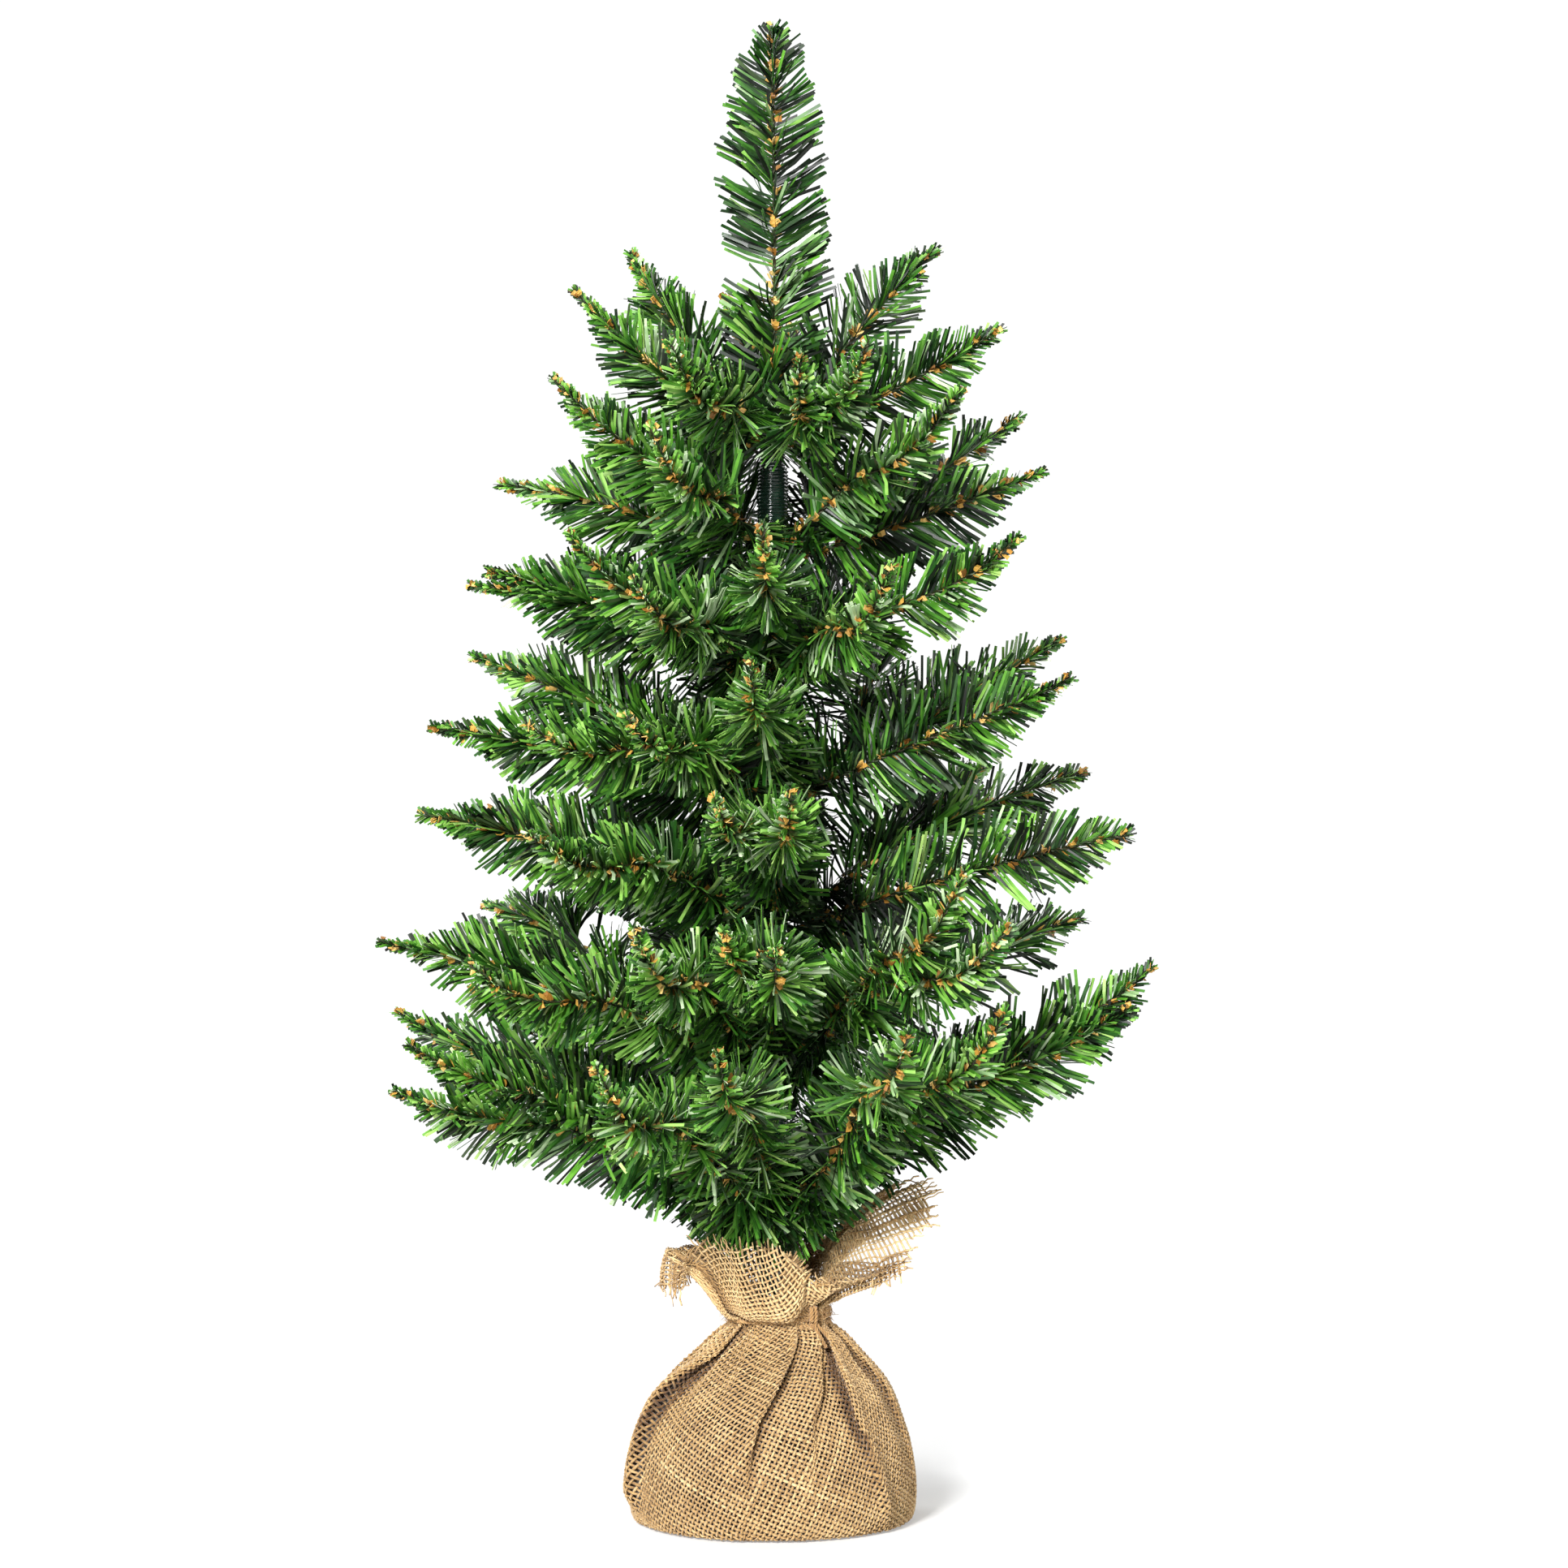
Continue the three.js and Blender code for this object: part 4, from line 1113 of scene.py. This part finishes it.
def collar_warps(batch, sheet, rng, split, crossed, present, lift):
    """Yarns that run up the collar, frayed above the last cross yarn."""
    j = np.arange(len(sheet.v))
    tones = rng.normal(0.60, 0.05, WARPS)
    for i in range(WARPS):
        c = 2 * i
        normals = sheet.normals[c]
        side = unit(np.cross(normals, unit(sheet.up_step[c])))
        over = over_under(j % 2 == 0, j // 2 + i)
        wobble = uneven(rng, j, np.arange(0, len(j) + 9, 9), 0.16)
        drift = rng.normal(0, 0.10) * np.sin(j * 0.11 + rng.uniform(0, 6))
        line, half, thick = collar_yarn(
            sheet.points[c], normals, side, np.linalg.norm(sheet.round_step[c], axis=1),
            sheet.v - sheet.neck, over, wobble, drift)
        last_cross = first_false(crossed[c])
        fray = np.clip((j - last_cross) * sheet.step, 0, 30)
        bend_out, bend_side = rng.normal(0, 0.10), rng.normal(0, 0.13)
        line = line + normals * (bend_out * fray)[:, None] + side * (bend_side * fray)[:, None]
        line[:, 2] += rng.normal(-0.03, 0.08) * fray
        cut = max(last_cross + 2, first_false(present[c]) - int(rng.integers(0, 4)))
        cut = min(cut, len(j))
        half = np.where(j > cut - 4, half * 0.8, half)
        tone = (tones[i] + 0.06 * rng.normal(0, 1) * np.sin(j * 0.05)
                + collar_tone(over, sheet.shade[c], lift[c]))
        part = slice(split, cut)
        batch.tube(line[part], side[part], normals[part], half[part], thick[part], tone[part])


def loose_end(rng, tip, behind):
    """Three more points past the end of a cross yarn, sagging."""
    ahead = unit(tip - behind)
    length = rng.uniform(2.5, 5.5)
    sag = rng.normal(0, 0.16, 3) + np.array([0, 0, -0.10])
    f = np.array([0.33, 0.66, 1.0])[:, None]
    return tip + ahead * length * f + sag * length * f * f


def collar_wefts(batch, sheet, rng, split, crossed, lift):
    """Cross yarns of the collar: closed rings low down, runs with loose ends higher up."""
    k = np.arange(COLUMNS)
    tones = rng.normal(0.60, 0.05, len(sheet.v))
    for m in range(split + split % 2, len(sheet.v), 2):
        normals = sheet.normals[:, m]
        side = unit(np.cross(normals, unit(sheet.round_step[:, m])))
        over = over_under(k % 2 == 0, m // 2 + k // 2 + 1)
        knots = np.r_[rng.normal(0, 1, 59), 0]
        wobble = 1 + 0.16 * np.interp(k, np.linspace(0, COLUMNS, 60), knots)
        drift = 0.10 * np.sin(k * 0.07 + rng.uniform(0, 6))
        line, half, thick = collar_yarn(
            sheet.points[:, m], normals, side,
            np.linalg.norm(sheet.up_step[:, m], axis=1) * 2,
            sheet.v[m] - sheet.neck, over, wobble, drift)
        tone = (tones[m] + 0.05 * np.sin(k * 0.03 + rng.uniform(0, 6))
                + collar_tone(over, sheet.shade[:, m], lift[:, m]))
        here = crossed[:, m]
        if here.all():
            r = np.r_[k, 0]
            batch.tube(line[r], side[r], normals[r], half[r], thick[r], tone[r])
            continue
        # start at a gap, so that every second piece is a run of cloth
        start = first_false(here)
        changes = np.flatnonzero(np.diff(np.roll(here, -start))) + 1
        for r in np.split(np.roll(k, -start), changes)[1::2]:
            if len(r) < 8:
                continue
            points = line[r]
            low = loose_end(rng, points[0], points[3])
            high = loose_end(rng, points[-1], points[-4])
            width = np.pad(half[r], 3, mode="edge")
            width[:3] *= 0.85
            width[-3:] *= 0.85
            batch.tube(np.concatenate([low[::-1], points, high]),
                       np.pad(side[r], ((3, 3), (0, 0)), mode="edge"),
                       np.pad(normals[r], ((3, 3), (0, 0)), mode="edge"),
                       width, np.pad(thick[r], 3, constant_values=0.27),
                       np.pad(tone[r], 3, mode="edge"))


def underside_weave(batch, rng):
    """The flat underside: a plain weave, cut round."""
    radius, z = 55.2, 0.72
    outermost = int(radius / PITCH)
    for way in (0, 1):
        for i in range(-outermost, outermost + 1):
            x = i * PITCH
            last = int(math.sqrt(radius * radius - x * x) / (PITCH / 2))
            j = np.arange(-last, last + 1)
            over = over_under(j % 2 == 0, j // 2 + i + way)
            wobble = uneven(rng, j, np.linspace(-last, last, 20), 0.12)
            points = np.stack([x + 0.1 * np.sin(j * 0.1 + i), j * PITCH / 2, z + over * 0.27], -1)
            if way:
                points = points[:, [1, 0, 2]]
            batch.tube(points, np.eye(3)[way], UP, 0.6 * wobble, 0.28,
                       float(rng.normal(0.5, 0.12)))


def burlap(sheet):
    rng = rng_for("burlap")
    azimuths = sheet.azimuths
    above = sheet.v[None, :] - sheet.neck
    collar = sheet.collar_length(azimuths)
    crossed = above <= collar - sheet.rim_at(azimuths)[2]      # where there are cross yarns
    present = above <= collar + 0.5
    # the bag's yarns and the collar's meet under the cord
    split = sheet.rows - int(5.0 / sheet.step)
    lift = 0.16 * facing(azimuths, 4, low=0.72, span=0.2)      # painted light: yarns lighter on the right, where the collar catches the light
    names = ("bag_warp", "bag_weft", "collar_warp", "collar_weft", "underside")
    parts = {name: Batch() for name in names}
    bias_weave(sheet, rng, parts["bag_warp"], parts["bag_weft"], sheet.v[split] + 1.0)
    collar_warps(parts["collar_warp"], sheet, rng, split, crossed, present, lift)
    collar_wefts(parts["collar_weft"], sheet, rng, split, crossed, lift)
    underside_weave(parts["underside"], rng)
    for name, batch in parts.items():
        ob = batch.mesh("burlap_" + name, [BURLAP])
        attach(ob)
    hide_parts("burlap_wrap")


def inner_ply(sheet):
    """A dark sheet that lies behind the outer cloth, down to the foot: painted shade, seen through the
    gaps of the weave.
    """
    columns, rows = 220, 60
    around = 2 * np.pi * np.arange(columns) / columns
    skins = []
    for depth in (2.0, 2.5):
        rings = []
        for v in np.linspace(1.2, sheet.neck - 3.0, rows):
            r, z, out_r, out_z = sheet.surface(around, v)
            height = float(z[0])
            texture = 0.10 * np.cos(97 * around) * np.cos(v * 3.4)
            push = wall_wave(around, height) - depth + texture
            rings.append(polar(r + out_r * push, around, np.maximum(z + out_z * push, 1.3),
                               centre_x(height)))
        skins.append(np.array(rings))
    outer, inner = skins
    verts = np.concatenate([outer, inner[::-1]]).reshape(-1, 3)
    ob = make_mesh("burlap_inner_ply_painted_shade", verts, ring_quads(2 * rows, columns), [SHADE_PLY],
                   smooth_faces=True, tone=np.full(len(verts), 0.5))
    attach(ob)


def bunch_points(azimuth, f, top):
    """Radial folds at the share f of the way out from the trunk to the tie."""
    fold = (0.5 * np.cos(15 * azimuth + 0.5) + 0.32 * np.cos(23 * azimuth + 1.0)
            + 0.18 * np.cos(37 * azimuth))
    r = 8.2 + 6.6 * f + fold * (0.9 + 0.8 * f)
    z = top - 10.0 * (1 - f) ** 1.4 + 2.2 * f * np.cos(15 * azimuth + 2.0)
    return polar(r, azimuth, z, SHIFT * (0.4 + 0.6 * f))


def neck_bunch():
    """The cloth bunched round the trunk inside the tie, which closes the bag off."""
    batch = Batch()
    rng = rng_for("bunch")
    samples, rings, ribs = 220, 13, 96
    around = np.r_[2 * np.pi * np.arange(samples) / samples, 0]
    for i, f in enumerate(np.linspace(0, 1, rings)):
        points = bunch_points(around, f, 88.0 + 0.4 * (i % 2))
        tangents = unit(np.gradient(points, axis=0))
        side = unit(np.cross(tangents, UP))
        batch.tube(points, side, np.cross(side, tangents), 0.45, 0.4,
                   float(rng.normal(0.36, 0.06)))
    for k in range(ribs):
        azimuth = 2 * math.pi * k / ribs
        points = bunch_points(azimuth, np.linspace(0, 1, 14), 88.3)
        tangents = unit(np.gradient(points, axis=0))
        side = np.array([-math.sin(azimuth), math.cos(azimuth), 0.0])
        batch.tube(points, side, unit(np.cross(tangents, side)), 0.34,
                   tone=float(rng.normal(0.36, 0.06)))
    attach(batch.mesh("burlap_neck_bunch", [BURLAP]))


SHEET = Sheet()
burlap(SHEET)
inner_ply(SHEET)
neck_bunch()


# ------------------------------------------------------------------ jute cord
CORD_TURN = 19.9                 # radius of the turns round the neck
CORD_LAY = 4.6                   # length in which a strand winds once round


def cord_run(batch, centre, radius, rng, phase=0.0):
    """Three strands laid round each other along a centre line."""
    along = line_lengths(centre)
    s = np.arange(0, along[-1], 0.55)
    points = interp_rows(s, along, centre)
    tangents = unit(np.gradient(points, axis=0))
    normals = carried_normals(first_normal(tangents[0], steep=0.85), tangents)
    line = (points, tangents, normals, np.cross(tangents, normals))
    for k in range(3):
        wobble = 1 + 0.08 * np.sin(s * 1.7 + k)
        batch.strand(line, phase + 2 * math.pi * (s / CORD_LAY + k / 3.0), radius * 0.52,
                     radius * 0.54 * wobble, float(np.clip(rng.normal(0.5, 0.1), 0.2, 0.8)))


def out_and_along(azimuth):
    """Unit vectors away from the axis and round it."""
    c, s = math.cos(azimuth), math.sin(azimuth)
    return np.array([c, s, 0]), np.array([-s, c, 0])


def cord_turns(batch, rng, low, high):
    start = math.radians(-66)
    a = np.linspace(start, start + 6 * math.pi, 260)
    z = np.interp(a, [a[0], a[-1]], [low, high]) + 0.18 * np.sin(a * 1.3)
    x = SHIFT + (CORD_TURN + 0.25 * np.sin(a * 2.1)) * np.cos(a)
    y = (CORD_TURN + 0.2 * np.cos(a * 1.7)) * np.sin(a)
    cord_run(batch, np.stack([x, y, z], -1), 1.08, rng)


def cord_knot(batch, rng, z):
    """A loop over the turns, on the right of the front, and two tails."""
    out, along = out_and_along(math.radians(-52))
    knot = np.array([SHIFT, 0, z]) + out * (CORD_TURN + 1.0)
    a = np.linspace(-0.4, 2 * math.pi * 1.35, 60)
    loop = (knot + out * (0.9 + 1.0 * np.cos(a))[:, None] + UP * (4.0 * np.sin(a))[:, None]
            + along * (0.9 * a / 3 - 1.1)[:, None])
    cord_run(batch, loop, 0.95, rng, phase=1.0)
    f = np.linspace(0, 1, 24)[:, None]
    # where the tail starts sideways, its length, its slant
    for start, length, slant in ((1, 15.0, 0.75), (-0.2, 11.0, 0.25)):
        tail = (knot + out * (1.2 + 3.6 * f + 2.5 * f * f)
                + along * (start * 0.8 + slant * length * f * 0.8)
                - UP * (2.0 + length * (0.62 * f + 0.25 * f * f)))
        cord_run(batch, tail, 0.85, rng, phase=2.0)


def cord_fibres(batch, rng, low, high):
    """Loose fibres standing off the turns."""
    f = np.linspace(0, 1, 5)[:, None]
    for azimuth in rng.uniform(0, 2 * math.pi, 420):
        out, along = out_and_along(azimuth)
        start = np.array([SHIFT, 0, rng.uniform(low - 0.6, high + 0.6)])
        start = start + out * (CORD_TURN + rng.uniform(0.4, 1.0))
        ahead = unit(along * rng.choice([-1, 1]) * rng.uniform(0.4, 1.0)
                     + out * rng.uniform(0.05, 0.6) + UP * rng.normal(-0.25, 0.5))
        points = (start + ahead * rng.uniform(1.6, 4.6) * f
                  + UP * rng.normal(-0.3, 0.5) * f * f)
        side = unit(np.cross(ahead, out))
        batch.tube(points, side, np.cross(side, ahead), 0.09,
                   tone=float(rng.uniform(0.2, 0.9)))


def cord():
    """Three turns round the neck, a knot with two tails, and loose fibres."""
    rng = rng_for("cord")
    batch = Batch()
    lo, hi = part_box("jute_cord")
    low, high = lo.z / MM + 1.05, hi.z / MM - 1.05
    cord_turns(batch, rng, low, high)
    cord_knot(batch, rng, (low + high) / 2)
    cord_fibres(batch, rng, low, high)
    ob = batch.mesh("cord_lay", [CORD])
    attach(ob)
    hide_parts("jute_cord")


cord()


# ------------------------------------------------------------------ floor, lights, world, camera (metres)
def floor_material():
    """White; seen by the camera, the floor runs out into the white backdrop."""
    shader = Shader("floor_white")
    shader.set({"Base Color": (0.9, 0.9, 0.9, 1), "Roughness": 0.9, "Specular IOR Level": 0.1})
    distance = shader.node("VectorMath")
    distance.operation = "LENGTH"
    shader.link(shader.node("TexCoord").outputs["Object"], distance.inputs[0])
    away = shader.node("MapRange")
    away.interpolation_type = "SMOOTHSTEP"
    for name, value in {"From Min": 0.11, "From Max": 0.6, "To Min": 0.30, "To Max": 1.0}.items():
        away.inputs[name].default_value = value
    shader.link(distance.outputs["Value"], away.inputs["Value"])
    both = shader.node("Math")
    both.operation = "MULTIPLY"
    shader.link(away.outputs["Result"], both.inputs[0])
    shader.link(shader.node("LightPath").outputs["Is Camera Ray"], both.inputs[1])
    glow = shader.node("Emission")
    glow.inputs["Strength"].default_value = 1.06
    mix = shader.node("MixShader")
    for i, source in enumerate((both, shader.surface, glow)):
        shader.link(source.outputs[0], mix.inputs[i])
    output = shader.tree.nodes["Material Output"]
    shader.link(mix.outputs[0], output.inputs["Surface"])
    return shader.material


def add_floor():
    half, z = 14.0, -0.0004
    mesh = bpy.data.meshes.new("floor")
    corners = [(-half, -half, z), (half, -half, z), (half, half, z), (-half, half, z)]
    mesh.from_pydata(corners, [], [(0, 1, 2, 3)])
    floor = bpy.data.objects.new("floor", mesh)
    bpy.context.scene.collection.objects.link(floor)
    mesh.materials.append(floor_material())


# name, position, side of the square, watts, the point it faces
LIGHTS = [
    ("key", (-0.65, -1.85, 1.1), 0.42, 83.0, (0, 0, 0.29)),
    ("fill", (1.5, -1.3, 0.75), 0.8, 9.0, (0, 0, 0.3)),
    ("top", (0.1, 0.1, 1.9), 0.8, 22.0, (0, 0, 0.2)),
    ("back_left", (-1.3, 1.3, 1.0), 0.9, 20.0, (0, 0, 0.35)),
    ("back_right", (1.4, 1.2, 1.0), 0.9, 10.0, (0, 0, 0.35)),
]


def add_lights():
    for name, position, size, power, target in LIGHTS:
        light = bpy.data.lights.new(name, "AREA")
        light.shape = "SQUARE"
        light.size = size
        light.energy = power
        ob = bpy.data.objects.new(name, light)
        ob.location = position
        direction = Vector(target) - Vector(position)
        ob.rotation_euler = direction.to_track_quat("-Z", "Y").to_euler()
        bpy.context.scene.collection.objects.link(ob)


def set_world():
    """The camera sees a bright white backdrop; the scene gets only a faint white light."""
    world = bpy.data.worlds.new("studio")
    bpy.context.scene.world = world
    world.use_nodes = True
    tree = world.node_tree
    tree.nodes.clear()
    output = tree.nodes.new("ShaderNodeOutputWorld")
    mix = tree.nodes.new("ShaderNodeMixShader")
    path = tree.nodes.new("ShaderNodeLightPath")
    tree.links.new(path.outputs["Is Camera Ray"], mix.inputs[0])
    for i, strength in ((2, 1.05), (1, 0.11)):
        background = tree.nodes.new("ShaderNodeBackground")
        background.inputs["Color"].default_value = (1, 1, 1, 1)
        background.inputs["Strength"].default_value = strength
        tree.links.new(background.outputs[0], mix.inputs[i])
    tree.links.new(mix.outputs[0], output.inputs["Surface"])


def add_camera():
    camera = bpy.data.cameras.new("camera")
    camera.lens = 94.49
    camera.sensor_width = 36.0
    camera.clip_start = 0.05
    camera.clip_end = 60.0
    ob = bpy.data.objects.new("camera", camera)
    ob.location = (0.004555, -1.65, 0.294)
    ob.rotation_euler = (math.pi / 2, 0, 0)
    bpy.context.scene.collection.objects.link(ob)
    bpy.context.scene.camera = ob


add_floor()
add_lights()
set_world()
add_camera()
bpy.context.scene.view_settings.view_transform = "Standard"
bpy.context.view_layer.update()
